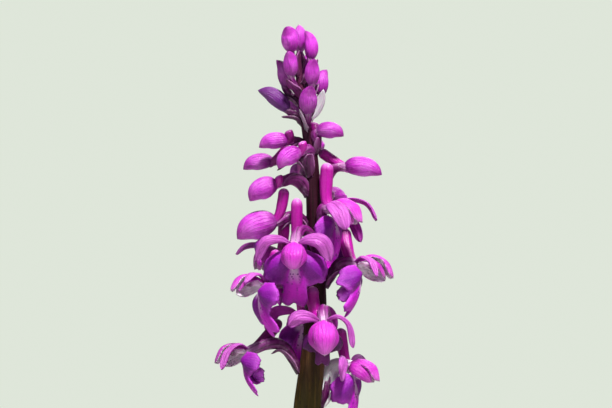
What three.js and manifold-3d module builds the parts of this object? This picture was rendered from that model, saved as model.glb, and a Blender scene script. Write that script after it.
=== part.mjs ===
// A potted early purple orchid: a plain clay pot filled with potting soil, a rosette of strap leaves,
// two leaves that sheathe the stem, and one flowering stem that carries buds above and open flowers
// below. Each bloom is one solid with its twisted ovary, spur, hood, sepals and bract. The lip of an
// open flower is a solid of its own, because it has a colour of its own.
// Millimetres, +Z up, origin at the centre of the pot's underside. The spike's front faces -Y.
import * as THREE from "three";
import { mergeVertices } from "three/addons/utils/BufferGeometryUtils.js";
import Module from "manifold-3d";

const wasm = await Module();
wasm.setup();

// Driving dimensions
const GAP = 0.3;
const POT = {
  height: 110,
  topRadius: 62,
  footRadius: 45,
  wall: 5,
  floor: 7,
  rimHeight: 20,
  rimProud: 3.5,
  sides: 28,
  holes: 4,
  holeRadius: 4,
  holeCircle: 24,
};
const SOIL = { top: 99, mound: 3, rings: 5, sides: 24, lump: 0.7 };
const STEM = { sides: 10, foot: 84, crown: 3.4 };
const TUBER = { radius: 9, length: 26, apart: 10.5, middle: 70 };
const LEAF = { thickness: 0.9, root: 5.3, cupAtRoot: 55, cupAtTip: 14 };
const NECK = { sunk: 4, widening: 3.2, depth: 6, sides: 20 };
const PETAL_THICKNESS = 0.7;
const OVARY = { radius: 1.1, rise: 60, sunk: 0.4, arch: 0.55, sides: 5, rows: 3 };
const SPUR = { radius: 1.25, length: 8.5, aside: 0.7, sides: 6, rows: 4 };
const LIP = { spread: 0.35, hang: 36, bend: 0.045, rollRadius: 5, dome: 1.3, domeAt: 62, domeWidth: 29 };
// Ovaries and bracts are full size up to the first of these heights and youngest at the second.
const AGES = { grown: 285, youngest: 325, youngestOvary: 0.55, youngBract: 1.4, grownBract: 1.8 };

const vec = (x, y, z) => new THREE.Vector3(x, y, z);
const rad = THREE.MathUtils.degToRad;
const lerp = THREE.MathUtils.lerp;

// Solids from meshes

// A closed mesh as a solid: coincident vertices are merged and collapsed triangles dropped.
function solidOf(geometry) {
  const bare = geometry.clone();
  bare.deleteAttribute("normal");
  bare.deleteAttribute("uv");
  const merged = mergeVertices(bare, 1e-4);
  const kept = [];
  for (let i = 0; i < merged.index.count; i += 3) {
    const [a, b, c] = merged.index.array.subarray(i, i + 3);
    if (a !== b && b !== c && c !== a) kept.push(a, b, c);
  }
  return new wasm.Manifold(
    new wasm.Mesh({
      numProp: 3,
      vertProperties: new Float32Array(merged.attributes.position.array),
      triVerts: new Uint32Array(kept),
    }),
  );
}

function geometryOf(solid) {
  const mesh = solid.getMesh();
  const geometry = new THREE.BufferGeometry();
  geometry.setAttribute("position", new THREE.BufferAttribute(mesh.vertProperties, 3));
  geometry.setIndex(new THREE.BufferAttribute(mesh.triVerts, 1));
  geometry.computeVertexNormals();
  return geometry;
}

function fuse(solids) {
  return wasm.Manifold.union(solids);
}

// The main body of a solid, without the scraps that a cut leaves loose.
function largest(solid) {
  return solid.decompose().reduce((a, b) => (b.volume() > a.volume() ? b : a));
}

function meshFrom(points, triangles) {
  const geometry = new THREE.BufferGeometry().setFromPoints(points);
  geometry.setIndex(triangles);
  return geometry;
}

// A closed skin over rings of points that all run the same way round, with a fan at each end.
function loft(rings) {
  const sides = rings[0].length;
  const last = rings.length - 1;
  const points = rings.flat();
  const middles = [rings[0], rings[last]].map((ring) =>
    ring.reduce((sum, p) => sum.add(p), vec(0, 0, 0)).divideScalar(sides),
  );
  const first = points.length;
  points.push(...middles);
  const triangles = [];
  for (let k = 0; k < sides; k++) {
    const next = (k + 1) % sides;
    triangles.push(first, next, k, first + 1, last * sides + k, last * sides + next);
    for (let i = 0; i < last; i++) {
      const [a, b] = [i * sides + k, i * sides + next];
      const [c, d] = [b + sides, a + sides];
      triangles.push(a, b, c, a, c, d);
    }
  }
  return meshFrom(points, triangles);
}

// A round solid along a curve; radius(s) is its radius at share s of the curve's length. crowded moves
// its rings towards both ends, from 0, evenly spaced, to 1.
function tube(curve, radius, sides, rows, crowded = 0) {
  const rings = [];
  let normal = null;
  for (let i = 0; i <= rows; i++) {
    const u = i / rows;
    const s = lerp(u, (1 - Math.cos(Math.PI * u)) / 2, crowded);
    const along = curve.getTangentAt(s);
    normal ??= Math.abs(along.z) < 0.9 ? vec(0, 0, 1) : vec(1, 0, 0);
    normal = normal.addScaledVector(along, -normal.dot(along)).normalize();
    const binormal = along.cross(normal);
    const middle = curve.getPointAt(s);
    const ring = [];
    for (let k = 0; k < sides; k++) {
      const angle = (2 * Math.PI * k) / sides;
      ring.push(
        middle
          .clone()
          .addScaledVector(normal, radius(s) * Math.cos(angle))
          .addScaledVector(binormal, radius(s) * Math.sin(angle)),
      );
    }
    rings.push(ring);
  }
  return loft(rings);
}

// Both faces of a sheet as one closed mesh. at(i, j, side) is the grid's point on face side, 1 or -1,
// and the two faces meet round the grid's edge. They are split into triangles alike.
function sheet(rows, columns, at) {
  const points = [];
  const triangles = [];
  for (const side of [1, -1]) {
    const first = points.length;
    for (let i = 0; i <= rows; i++)
      for (let j = 0; j <= columns; j++) points.push(at(i, j, side));
    for (let i = 0; i < rows; i++)
      for (let j = 0; j < columns; j++) {
        const a = first + i * (columns + 1) + j;
        const [b, c, d] = [a + columns + 1, a + columns + 2, a + 1];
        if (side > 0) triangles.push(a, b, c, a, c, d);
        else triangles.push(a, c, b, a, d, c);
      }
  }
  return meshFrom(points, triangles);
}

// A leaf or petal: a strip along a spine, seen from its face, with half its width and its cup, which
// is the angle that its edge turns up towards the face, given by share s of its length.
function blade({ spine, face, halfWidth, cup, thickness, rows, columns }) {
  const curve = new THREE.CatmullRomCurve3(spine, false, "centripetal");
  return sheet(rows, columns, (i, j, side) => {
    const s = i / rows;
    const t = (2 * j) / columns - 1;
    const along = curve.getTangentAt(s);
    const across = vec(0, 0, 0).crossVectors(face(s), along).normalize();
    const out = vec(0, 0, 0).crossVectors(along, across);
    const turn = t * cup(s) || 1e-6;
    const radius = (t * halfWidth(s)) / turn;
    const inside = i > 0 && i < rows ? 1 - t * t : 0;
    const lift = radius * (1 - Math.cos(turn)) + (side * inside * thickness * Math.cos(turn)) / 2;
    const aside = radius * Math.sin(turn) - (side * inside * thickness * Math.sin(turn)) / 2;
    return curve.getPointAt(s).addScaledVector(across, aside).addScaledVector(out, lift);
  });
}

// Half width of a leaf outline at share s: widest at peak, rounder ends for a small point.
function outline(s, widest, peak, point, foot = 0) {
  const rise = Math.pow(s / peak, peak * point);
  const fall = Math.pow(Math.max(0, 1 - s) / (1 - peak), (1 - peak) * point);
  return Math.max(widest * rise * fall, foot * (1 - s / 0.3));
}

// Pot, soil and tubers

function potInside(height) {
  return lerp(POT.footRadius, POT.topRadius, height / POT.height) - POT.wall;
}

function makePot() {
  const rimFoot = POT.height - POT.rimHeight;
  const outside = (height) => potInside(height) + POT.wall;
  const profile = [
    [0, 0],
    [POT.footRadius - 1.5, 0],
    [POT.footRadius, 1.5],
    [outside(rimFoot), rimFoot],
    [outside(rimFoot) + POT.rimProud, rimFoot + 1.5],
    [POT.topRadius + POT.rimProud, POT.height - 2],
    [POT.topRadius + POT.rimProud - 2, POT.height],
    [potInside(POT.height) + 1.5, POT.height],
    [potInside(POT.height), POT.height - 1.5],
    [potInside(POT.floor), POT.floor],
    [0, POT.floor],
  ].map(([x, y]) => new THREE.Vector2(x, y));
  const shell = new THREE.LatheGeometry(profile, POT.sides).rotateX(Math.PI / 2);
  const holes = [];
  for (let k = 0; k < POT.holes; k++) {
    const angle = (2 * Math.PI * (k + 0.5)) / POT.holes;
    const hole = new THREE.CylinderGeometry(POT.holeRadius, POT.holeRadius, 3 * POT.floor, 12);
    hole.rotateX(Math.PI / 2);
    hole.translate(POT.holeCircle * Math.cos(angle), POT.holeCircle * Math.sin(angle), 0);
    holes.push(solidOf(hole));
  }
  return solidOf(shell).subtract(fuse(holes));
}

// The soil's surface: a low mound with lumps, level where the plant comes out of it.
function soilHeight(x, y) {
  const reach = Math.hypot(x, y) / potInside(SOIL.top);
  const lumps = Math.sin(0.33 * x + 1) * Math.cos(0.29 * y) + 0.6 * Math.sin(0.21 * (x + y) + 2);
  return SOIL.top + SOIL.mound * (1 - reach * reach) + SOIL.lump * lumps * Math.min(1, 1.6 * reach);
}

function makeSoil() {
  const rings = [];
  const ringAt = (radius, height) => {
    const ring = [];
    for (let k = 0; k < SOIL.sides; k++) {
      const angle = (2 * Math.PI * k) / SOIL.sides;
      const [x, y] = [radius * Math.cos(angle), radius * Math.sin(angle)];
      ring.push(vec(x, y, height ?? soilHeight(x, y)));
    }
    return ring;
  };
  // The pot's flat sides lie a little inside its circle, and the soil stays clear of them.
  const slack = 2 * GAP;
  rings.push(ringAt(potInside(POT.floor) - slack, POT.floor + GAP));
  for (let k = SOIL.rings; k > 0; k--)
    rings.push(ringAt((k / SOIL.rings) * (potInside(SOIL.top) - slack)));
  // The leaves stand in a round hole that widens upwards with them.
  const wide = LEAF.root + LEAF.thickness / 2 + GAP;
  const hole = new THREE.CylinderGeometry(wide + NECK.widening, wide, NECK.depth, NECK.sides);
  hole.rotateX(Math.PI / 2);
  hole.translate(0, 0, SOIL.top + SOIL.mound - NECK.sunk - GAP + NECK.depth / 2);
  return solidOf(loft(rings)).subtract(fuse([...tubers(GAP), stemSolid(GAP), solidOf(hole)]));
}

// The two tubers, each larger than life by extra all round.
function tubers(extra) {
  return [-1, 1].map((side) => {
    const shape = new THREE.SphereGeometry(1, 8, 6);
    shape.scale(TUBER.radius + extra, TUBER.radius + extra, TUBER.length / 2 + extra);
    shape.rotateY(side * rad(-12));
    shape.translate((side * TUBER.apart) / 2, side * 2, TUBER.middle);
    return solidOf(shape);
  });
}

// Flowering stem

// Points of the stem's axis, and its radius there, from the tubers up to the youngest bud.
const STEM_AXIS = [
  [0, 0, STEM.foot - 12, 3.0],
  [0, 0, 100, STEM.crown],
  [-1.0, 0.6, 150, 3.4],
  [-1.2, 0.8, 200, 3.3],
  [0, 0.4, 248, 3.15],
  [1.5, 0, 260, 2.8],
  [2.2, 0, 271, 2.25],
  [2.0, 0, 280, 1.95],
  [1.6, 0, 292, 1.8],
  [0.9, 0, 304, 1.5],
  [-0.6, 0, 313, 1.15],
  [-1.8, 0.2, 321, 0.85],
  [-2.0, 0.3, 326, 0.5],
];

// The axis point, as x, y and radius, at a height.
function stemAt(height) {
  const above = STEM_AXIS.findIndex((p) => p[2] >= height);
  const k = above < 0 ? STEM_AXIS.length - 1 : Math.max(1, above);
  const [low, high] = [STEM_AXIS[k - 1], STEM_AXIS[k]];
  const share = (height - low[2]) / (high[2] - low[2]);
  return {
    point: vec(lerp(low[0], high[0], share), lerp(low[1], high[1], share), height),
    radius: lerp(low[3], high[3], share),
  };
}

function stemSolid(extra) {
  const rings = STEM_AXIS.map(([x, y, z, radius]) => {
    const ring = [];
    for (let k = 0; k < STEM.sides; k++) {
      const angle = (2 * Math.PI * k) / STEM.sides;
      ring.push(vec(x + (radius + extra) * Math.cos(angle), y + (radius + extra) * Math.sin(angle), z));
    }
    return ring;
  });
  return solidOf(loft(rings));
}

// Leaves

// Rosette leaves: bearing in degrees, length, half width, and how far each rises and arches over.
const ROSETTE = [
  { bearing: -62, length: 118, half: 13.5, rise: 30, droop: 14 },
  { bearing: 2, length: 112, half: 12.5, rise: 38, droop: 8 },
  { bearing: 58, length: 122, half: 13.5, rise: 28, droop: 16 },
  { bearing: 121, length: 108, half: 12.5, rise: 42, droop: 4 },
  { bearing: 179, length: 120, half: 14, rise: 31, droop: 15 },
  { bearing: 240, length: 104, half: 12, rise: 46, droop: 0 },
];

function rosetteLeaf({ bearing, length, half, rise, droop }) {
  const turn = new THREE.Matrix4().makeRotationZ(rad(bearing));
  const base = SOIL.top + SOIL.mound;
  const spine = [
    [LEAF.root, -NECK.sunk],
    [LEAF.root + 0.07 * length, 0.5 * rise],
    [LEAF.root + 0.3 * length, 0.95 * rise],
    [LEAF.root + 0.6 * length, 1.05 * rise],
    [LEAF.root + 0.9 * length, 1.05 * rise - droop],
  ].map(([out, up]) => vec(out, 0, base + up).applyMatrix4(turn));
  const inward = vec(-0.35, 0, 1).applyMatrix4(turn);
  const shape = blade({
    spine,
    face: () => inward,
    halfWidth: (s) => outline(s, half, 0.58, 1.5, 2.6),
    cup: (s) => rad(lerp(LEAF.cupAtRoot, LEAF.cupAtTip, Math.min(1, 2 * s))),
    thickness: LEAF.thickness,
    rows: 9,
    columns: 4,
  });
  return solidOf(shape);
}

// Stem leaves: a sheath wrapped round the stem from its foot, which opens into a free pointed tip.
const SHEATHS = [
  { bearing: 205, foot: 113, wrapped: 36, length: 92, half: 8, lean: 14 },
  { bearing: 20, foot: 158, wrapped: 40, length: 78, half: 6, lean: 9 },
];

function sheathLeaf({ bearing, foot, wrapped, length, half, lean }) {
  const outward = vec(Math.cos(rad(bearing)), Math.sin(rad(bearing)), 0);
  const clear = LEAF.thickness / 2 + 2 * GAP;
  const share = wrapped / length;
  const steps = 7;
  const spine = [];
  for (let k = 0; k <= steps; k++) {
    const s = k / steps;
    const { point, radius } = stemAt(foot + s * length);
    const away = Math.max(0, (s - 0.7 * share) / (1 - 0.7 * share));
    spine.push(point.addScaledVector(outward, radius + clear + lean * away * away));
  }
  const wrap = STEM.crown + clear;
  const closed = rad(150);
  const opening = (s) => THREE.MathUtils.smoothstep(s, 0.75 * share, share + 0.2);
  const shape = blade({
    spine,
    face: () => outward.clone().negate(),
    halfWidth: (s) => lerp(wrap * closed, outline(s, half, 0.5, 1.8), opening(s)),
    cup: (s) => lerp(closed, rad(22), opening(s)),
    thickness: LEAF.thickness,
    rows: 11,
    columns: 6,
  });
  return solidOf(shape);
}

// Florets. The local frame has its origin where the ovary meets the flower, +X the way that the
// flower faces, +Z up and +Y to one side. Sizes are those of a full flower.

// The hood's middle sepal, which arches forward over the column.
function dorsalSepal() {
  return blade({
    spine: [vec(-0.3, 0, 0.6), vec(1.8, 0, 3.0), vec(4.8, 0, 3.4), vec(7.6, 0, 1.0)],
    face: () => vec(-0.1, 0, 1),
    halfWidth: (s) => outline(s, 2.5, 0.55, 1.1, 1.2),
    cup: () => rad(-55),
    thickness: PETAL_THICKNESS,
    rows: 4,
    columns: 4,
  });
}

// One of the two petals that close the hood's sides. width is its share of a full petal's width.
function petal(side, width) {
  return blade({
    spine: [
      vec(-0.2, side * 0.5, 0.3),
      vec(1.8, side * 2.2, 1.3),
      vec(4.3, side * 2.2, 1.2),
      vec(6.4, side * 0.7, 0),
    ],
    face: () => vec(0, side, 0.45),
    halfWidth: (s) => outline(s, 1.8 * width, 0.5, 1.2, 0.8),
    cup: () => rad(-30),
    thickness: PETAL_THICKNESS,
    rows: 3,
    columns: 2,
  });
}

// The ways that a side sepal can lie: spread like a wing, lifted, swept forward along the hood, and
// bent down.
const WING = {
  spread: [vec(-0.4, 0.4, 0.2), vec(-0.5, 3.0, 1.8), vec(0.3, 6.0, 1.9), vec(2.6, 8.0, -1.8)],
  lifted: [vec(-0.4, 0.4, 0.2), vec(-0.7, 2.8, 2.0), vec(-0.9, 5.6, 3.2), vec(-2.0, 7.6, 4.4)],
  swept: [vec(-0.4, 0.4, 0.2), vec(1.2, 3.0, 1.9), vec(4.4, 4.4, 1.8), vec(7.6, 4.4, -0.6)],
  bent: [vec(-0.4, 0.4, 0.2), vec(-0.5, 2.6, 1.9), vec(0.6, 4.5, 1.3), vec(4.2, 5.6, -1.6)],
};
const WING_RISE = [0, 1.2, 2.8, 5.0];

// One of the two side sepals. lift, sweep and droop bend it from its spread way towards the others,
// raised adds to its height, and roll turns its edges back. width and length are shares of its size.
function sideSepal(side, { lift = 0, sweep = 0, droop = 0, raised = 0, width = 0.7, length = 1, roll = 0 }) {
  const foot = WING.spread[0];
  const spine = WING.spread.map((point, k) => {
    const moved = point.clone().lerp(WING.lifted[k], lift).lerp(WING.swept[k], sweep);
    moved.lerp(WING.bent[k], droop);
    moved.z += raised * WING_RISE[k];
    moved.sub(foot).multiplyScalar(length).add(foot);
    return vec(moved.x, side * moved.y, moved.z);
  });
  return blade({
    spine,
    face: () => vec(lerp(0.5, -0.3, sweep), side * 0.9 * sweep, 0.9),
    halfWidth: (s) => outline(s, 2.2 * width, 0.62, 1.6, 0.6),
    cup: (s) => rad(-30 - 130 * roll) * (1 - 0.5 * s),
    thickness: PETAL_THICKNESS,
    rows: 4,
    columns: 2,
  });
}

// The blunt spur, which leaves the lip's foot backwards at an angle from the way the flower faces and
// passes the ovary on one side, or behind it, set back level by a distance. nod is the flower's.
function spur({ back, nod, aside = SPUR.aside, behind = 0 }, length, thick) {
  const way = vec(Math.cos(rad(back)), 0, Math.sin(rad(back)));
  const setBack = vec(-Math.cos(rad(nod)), 0, -Math.sin(rad(nod))).multiplyScalar(behind);
  const curve = new THREE.CatmullRomCurve3([
    vec(0.4, 0, -0.5),
    vec(-0.9, 0.6 * aside, 0).addScaledVector(way, 0.2 * length).add(setBack),
    vec(-0.9, aside, 0.2).addScaledVector(way, 0.6 * length).add(setBack),
    vec(-0.5, aside, 0.4).addScaledVector(way, length).add(setBack),
  ]);
  const radius = (s) => thick * Math.min(1.06, 0.75 + 0.5 * s, 0.45 + 5 * (1 - s));
  return tube(curve, radius, SPUR.sides, SPUR.rows, 0.7);
}

// The lip's edge: its distance from the throat at an angle from its midline, in degrees. It has two
// broad side lobes and a longer middle lobe with a notch.
const LIP_EDGE = [
  [0, 9.8],
  [6, 10.7],
  [14, 10.2],
  [22, 6.8],
  [34, 7.2],
  [56, 8.3],
  [84, 6.6],
  [116, 2.8],
];

// The lip hangs from the throat at an angle and bends down along its length. Its side lobes bulge, and
// turn back less the more it is spread.
function lip(seat, { spread = LIP.spread, hang = LIP.hang, rollRadius = LIP.rollRadius, lip: size = 1 }) {
  const shares = [0, 0.4, 0.75, 1];
  const edge = [...LIP_EDGE.slice(1).map(([angle, reach]) => [-angle, reach]).reverse(), ...LIP_EDGE];
  const rows = shares.length - 1;
  const columns = edge.length - 1;
  return sheet(rows, columns, (i, j, side) => {
    const [angle, reach] = edge[j];
    const distance = shares[i] * reach * size;
    const [ahead, aside] = [distance * Math.cos(rad(angle)), distance * Math.sin(rad(angle))];
    const bend = rad(-hang) - LIP.bend * ahead;
    const turn = (aside * (1 - spread)) / rollRadius || 1e-6;
    const flat = (Math.sin(turn) / turn) * aside;
    const back = -(1 - Math.cos(turn)) * Math.abs(aside / turn);
    const off = (Math.abs(angle) - LIP.domeAt) / LIP.domeWidth;
    const dome = LIP.dome * size * Math.sin(Math.PI * shares[i]) * Math.exp(-off * off);
    const inside = i > 0 && i < rows && j > 0 && j < columns ? 1 : 0;
    const way = vec(Math.cos(bend), 0, Math.sin(bend));
    const normal = vec(-Math.sin(bend), 0, Math.cos(bend));
    return vec(seat.x, seat.y + flat, seat.z)
      .addScaledVector(way, ahead)
      .addScaledVector(normal, back + dome + (side * inside * PETAL_THICKNESS) / 2);
  });
}

// A closed bud: three sepals folded together, round at the foot and pointed in front.
function bud(length, half) {
  const curve = new THREE.CatmullRomCurve3([
    vec(-0.9, 0, 0),
    vec(0.25 * length, 0, 0.5),
    vec(0.65 * length, 0, 0.5),
    vec(length, 0, -0.08 * length),
  ]);
  const widest = 0.4;
  const swell = (s) => {
    if (s < widest) return Math.sqrt(1 - ((widest - s) / widest) ** 2);
    return Math.pow(1 - ((s - widest) / (1 - widest)) ** 2.2, 0.8);
  };
  return tube(curve, (s) => half * Math.max(0.14, swell(s)), 6, 5, 1);
}

// Florets from the top down. up is the height of the foot of the ovary on the stem; around, reach and
// rise place the flower's base from there. arch is how far the ovary arches over to it, and footTurn
// moves the ovary's foot round the stem. face and nod say which way the flower faces, as a bearing and
// an angle below level, and tilt turns it about that way. back is the angle of the spur from there,
// tail its length, and aside and behind say how far it passes the ovary. petals are the widths of the
// hood's side petals, and wings bend the two side sepals. spread, hang, rollRadius and lip shape the
// lip. bractTurn turns the bract round the ovary from its outer side, bractReach is the share of the
// ovary that it covers, and bractHalf its half width.
const FLORETS = [
  { kind: "bud", up: 322.5, around: 80, reach: 1.5, rise: 4.6, face: 100, nod: -84, length: 5.4,
    half: 1.5 },
  { kind: "bud", up: 321.0, around: 236, reach: 3.2, rise: 6.0, face: 245, nod: -68, length: 5.2,
    half: 1.95, bractTurn: 115 },
  { kind: "bud", up: 319.5, around: 330, reach: 2.6, rise: 5.8, face: 210, nod: -82, length: 5.8,
    half: 1.5 },
  { kind: "bud", up: 316.5, around: 236, reach: 4.4, rise: 5.0, face: 250, nod: -74, length: 5.2,
    half: 1.6 },
  { kind: "bud", up: 315.0, around: 294, reach: 5.1, rise: 4.6, face: 284, nod: -74, length: 5.4, half: 1.6,
    bractTurn: 105 },
  { kind: "bud", up: 317.0, around: 70, reach: 3.4, rise: 4.0, face: 80, nod: -76, length: 5.2, half: 1.5 },
  { kind: "bud", up: 314.5, around: 168, reach: 4.2, rise: 4.6, face: 165, nod: -76, length: 5.8,
    half: 1.5 },
  { kind: "bud", up: 311.4, around: 20, reach: 3.8, rise: 6.1, face: 40, nod: -78, length: 5.2, half: 1.6,
    bractTurn: -100, bractReach: 1, bractHalf: 1.5 },
  { kind: "bud", up: 309.2, around: 272, reach: 5.0, rise: 4.0, face: 290, nod: -70, length: 5.9,
    half: 1.95, bractTurn: -75, bractReach: 1 },
  { kind: "bud", up: 310.5, around: 186, reach: 4.6, rise: 3.4, face: 182, nod: -38, length: 7.2,
    half: 1.8 },
  { kind: "bud", up: 309.5, around: 108, reach: 5.2, rise: 3.2, face: 118, nod: -42, length: 6.0,
    half: 1.7 },
  { kind: "bud", up: 304.0, around: 330, reach: 2.2, rise: 4.8, face: 350, nod: 6, length: 5.4, half: 1.8,
    back: 120, tail: 1.8 },
  { kind: "bud", up: 305.0, around: 192, reach: 5.6, rise: 1.6, face: 190, nod: 8, length: 6.0, half: 1.8,
    back: 95, tail: 2.0 },
  { kind: "bud", up: 303.5, around: 84, reach: 6.6, rise: 2.0, face: 80, nod: 5, length: 6.0, half: 1.8,
    back: 110, tail: 3.5 },
  { kind: "bud", up: 300.5, around: 160, reach: 9.8, rise: 1.6, face: 172, nod: 10, length: 6.2, half: 1.8,
    back: 150, tail: 5 },
  { kind: "bud", up: 299.0, around: 240, reach: 6.5, rise: 5.0, face: 208, nod: 30, length: 5.8, half: 1.95,
    arch: 0.9, back: 130, tail: 2 },
  { kind: "bud", up: 296.0, around: 3, reach: 7.6, rise: 5.0, face: 355, nod: 8, length: 7.7, half: 2.15,
    back: 160, tail: 6.6, bractTurn: -80 },
  { kind: "bud", up: 296.5, around: 108, reach: 7.8, rise: 3.4, face: 104, nod: 14, length: 7.0, half: 2.1,
    back: 145, tail: 6 },
  { kind: "bud", up: 294.6, around: 203, reach: 9.4, rise: 2.4, face: 188, nod: 28, length: 6.4, half: 2.35,
    arch: 0.8, back: 135, tail: 1.6, bractTurn: 70 },
  { kind: "bud", up: 291.6, around: 62, reach: 8.0, rise: 3.2, face: 66, nod: 20, length: 7.0, half: 2.1,
    back: 140, tail: 5 },
  { kind: "opening", up: 287.0, around: 194, reach: 9.4, rise: 1.9, face: 188, nod: 20, length: 8.8,
    half: 3.0, arch: 0.75, back: 126, tail: 7.2, hang: 60, lip: 0.5 },
  { kind: "open", up: 286.8, around: 311, reach: 4.8, rise: 5.0, face: 332, nod: 28, back: 122, size: 1.12,
    spread: 0, lip: 0.72,
    wings: [
      { sweep: 0.95, width: 0.85 },
      { lift: 0.2, sweep: 0.75, raised: 0.35, width: 0.5, length: 1.2 },
    ] },
  { kind: "open", up: 279.5, around: 150, reach: 9.2, rise: 2.4, face: 146, nod: 35, back: 135,
    lip: 0.92, wings: [{}, { sweep: 0.9, raised: 1.1, width: 0.6 }] },
  { kind: "open", up: 278.4, around: 239, reach: 9.2, rise: 5.2, face: 266, nod: 50, footTurn: 55,
    arch: 1.2, back: 142, tail: 10, aside: 0.2, behind: 3.2, hang: 24, spread: 0.5, lip: 1.1,
    wings: [{ width: 0.6, length: 1.05 }, { width: 0.84 }] },
  { kind: "open", up: 284.0, around: 74, reach: 8.4, rise: 3.4, face: 66, nod: 36, back: 135 },
  { kind: "open", up: 274.6, around: 355, reach: 8.6, rise: 4.9, face: 346, nod: 26, tilt: -28, back: 134,
    tail: 7.6, size: 1.15, hang: 54, spread: 0, lip: 0.85, petals: [0.3, 1], rollRadius: 3.5,
    wings: [
      { sweep: 1, raised: -0.3, width: 0.4, length: 0.75 },
      { lift: 0.9, sweep: 0.55, raised: 0.4, width: 0.9 },
    ] },
  { kind: "open", up: 270.4, around: 199, reach: 12.4, rise: 4.6, face: 204, nod: 15, tilt: 28, back: 131,
    hang: 59, spread: 0.5, petals: [1, 0.35],
    wings: [{ lift: 0.7, sweep: 0.3, raised: 0.3 }, { sweep: 0.9, raised: 0.2, width: 0.5, length: 0.8 }] },
  { kind: "open", up: 264.0, around: 108, reach: 9.0, rise: 3.6, face: 106, nod: 35, back: 135 },
  { kind: "open", up: 261.0, around: 284, reach: 7.8, rise: 5.6, face: 274, nod: 56, footTurn: 45,
    arch: 1.2, back: 151, tail: 6.4, aside: -1.6, behind: 3.2, size: 1.18, lip: 0.55, hang: 20,
    wings: [{ lift: 0.35, width: 0.62, length: 0.8 }, { droop: 1, width: 0.34, roll: 1 }] },
  { kind: "open", up: 255.8, around: 185, reach: 14, rise: 4.6, face: 186, nod: 26, tilt: 28, arch: 0.75,
    back: 158, tail: 10, hang: 58, spread: 0, lip: 0.85, rollRadius: 3.8, petals: [1, 0.4], aside: -1.6,
    wings: [{ lift: 0.4, sweep: 0.6, raised: 0.3, width: 0.8 }, { sweep: 0.95, raised: -0.5, width: 0.5 }] },
  { kind: "open", up: 247.5, around: 26, reach: 10.4, rise: 9.2, face: 338, nod: 30, back: 135, spread: 0.1,
    bractHalf: 2.5, bractTurn: -112, bractReach: 1 },
];

// Where a floret's parts lie: its frame, and the curve of its ovary from the stem.
function placed(floret) {
  const { point, radius } = stemAt(floret.up);
  const outward = vec(Math.cos(rad(floret.around)), Math.sin(rad(floret.around)), 0);
  const base = point.clone().addScaledVector(outward, floret.reach);
  base.z += floret.rise;
  const frame = new THREE.Matrix4()
    .makeRotationZ(rad(floret.face))
    .multiply(new THREE.Matrix4().makeRotationY(rad(floret.nod)))
    .multiply(new THREE.Matrix4().makeRotationX(rad(floret.tilt ?? 0)))
    .scale(vec(1, 1, 1).multiplyScalar(floret.size ?? 1))
    .setPosition(base);
  const ahead = vec(1, 0, 0).transformDirection(frame);
  const seat = rad(floret.around + (floret.footTurn ?? 0));
  const rooted = vec(Math.cos(seat), Math.sin(seat), 0);
  const start = point.clone().addScaledVector(rooted, radius - OVARY.sunk);
  const span = start.distanceTo(base);
  const rising = rooted.clone().multiplyScalar(Math.cos(rad(OVARY.rise)));
  rising.z = Math.sin(rad(OVARY.rise));
  const ovary = new THREE.CubicBezierCurve3(
    start,
    start.clone().addScaledVector(rising, OVARY.arch * span),
    base.clone().addScaledVector(ahead, -(floret.arch ?? OVARY.arch) * span),
    base.clone().addScaledVector(ahead, 0.5),
  );
  return { frame, ovary, outward };
}

// The bract rises from the ovary's foot and follows it, folded round it, on its outer side or turned
// from there by an angle.
function bract({ ovary, outward }, reach, half, turned) {
  const aside = vec(0, 0, 1).cross(outward);
  const away = (s) => {
    const along = ovary.getTangentAt(s);
    return aside.clone().cross(along).normalize().applyAxisAngle(along, rad(turned));
  };
  const spine = [0, 0.35, 0.7, 1].map((s) =>
    ovary.getPointAt(s * reach).addScaledVector(away(s * reach), 0.45 + half * s * s),
  );
  return blade({
    spine,
    face: (s) => away(s * reach).negate(),
    halfWidth: (s) => outline(s, half, 0.4, 1.5, 1.1),
    cup: () => rad(45),
    thickness: PETAL_THICKNESS,
    rows: 3,
    columns: 2,
  });
}

function floretSolid(floret, grownStem) {
  const spot = placed(floret);
  const open = floret.kind === "open";
  const [right, left] = floret.wings ?? [{}, {}];
  const [rightPetal, leftPetal] = floret.petals ?? [1, 1];
  const hood = () => [dorsalSepal(), petal(-1, rightPetal), petal(1, leftPetal)];
  const local = open
    ? [...hood(), sideSepal(-1, right), sideSepal(1, left)]
    : [bud(floret.length, floret.half)];
  const tail = floret.tail ?? (open ? SPUR.length : 0);
  const thick = SPUR.radius * lerp(0.7, 1, Math.min(1, tail / SPUR.length));
  if (tail) local.push(spur(floret, tail, thick));
  const parts = local.map((geometry) => solidOf(geometry.applyMatrix4(spot.frame)));
  const age = Math.min(1, THREE.MathUtils.mapLinear(floret.up, AGES.youngest, AGES.grown, 0, 1));
  const girth = OVARY.radius * lerp(AGES.youngestOvary, 1, age);
  const swell = (s) => girth * (0.8 + 0.8 * s * (1.25 - s));
  parts.push(solidOf(tube(spot.ovary, swell, OVARY.sides, OVARY.rows)));
  const half = floret.bractHalf ?? lerp(AGES.youngBract, AGES.grownBract, age);
  const reach = floret.bractReach ?? (open ? 0.65 : 0.85);
  parts.push(solidOf(bract(spot, reach, half, floret.bractTurn ?? 0)));
  return largest(fuse(parts).subtract(grownStem));
}

// The lip starts just below the hood, and below the tip of one that is only half open.
function lipSolid(floret) {
  const seat = floret.kind === "open" ? vec(1.35, 0, -1.25) : vec(4.6, 0, -2.9);
  return solidOf(lip(seat, floret).applyMatrix4(placed(floret).frame));
}

// The object

const COLOURS = {
  clay: { color: 0xb5613c, roughness: 0.9 },
  soil: { color: 0x35261c, roughness: 1 },
  stem: { color: 0x4a3a2a, roughness: 0.5 },
  leaf: { color: 0x4c7a2c, roughness: 0.4 },
  bloom: { color: 0xc23bb6, roughness: 0.5 },
  lip: { color: 0x7a14b4, roughness: 0.55 },
};

const orchid = new THREE.Group();

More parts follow.
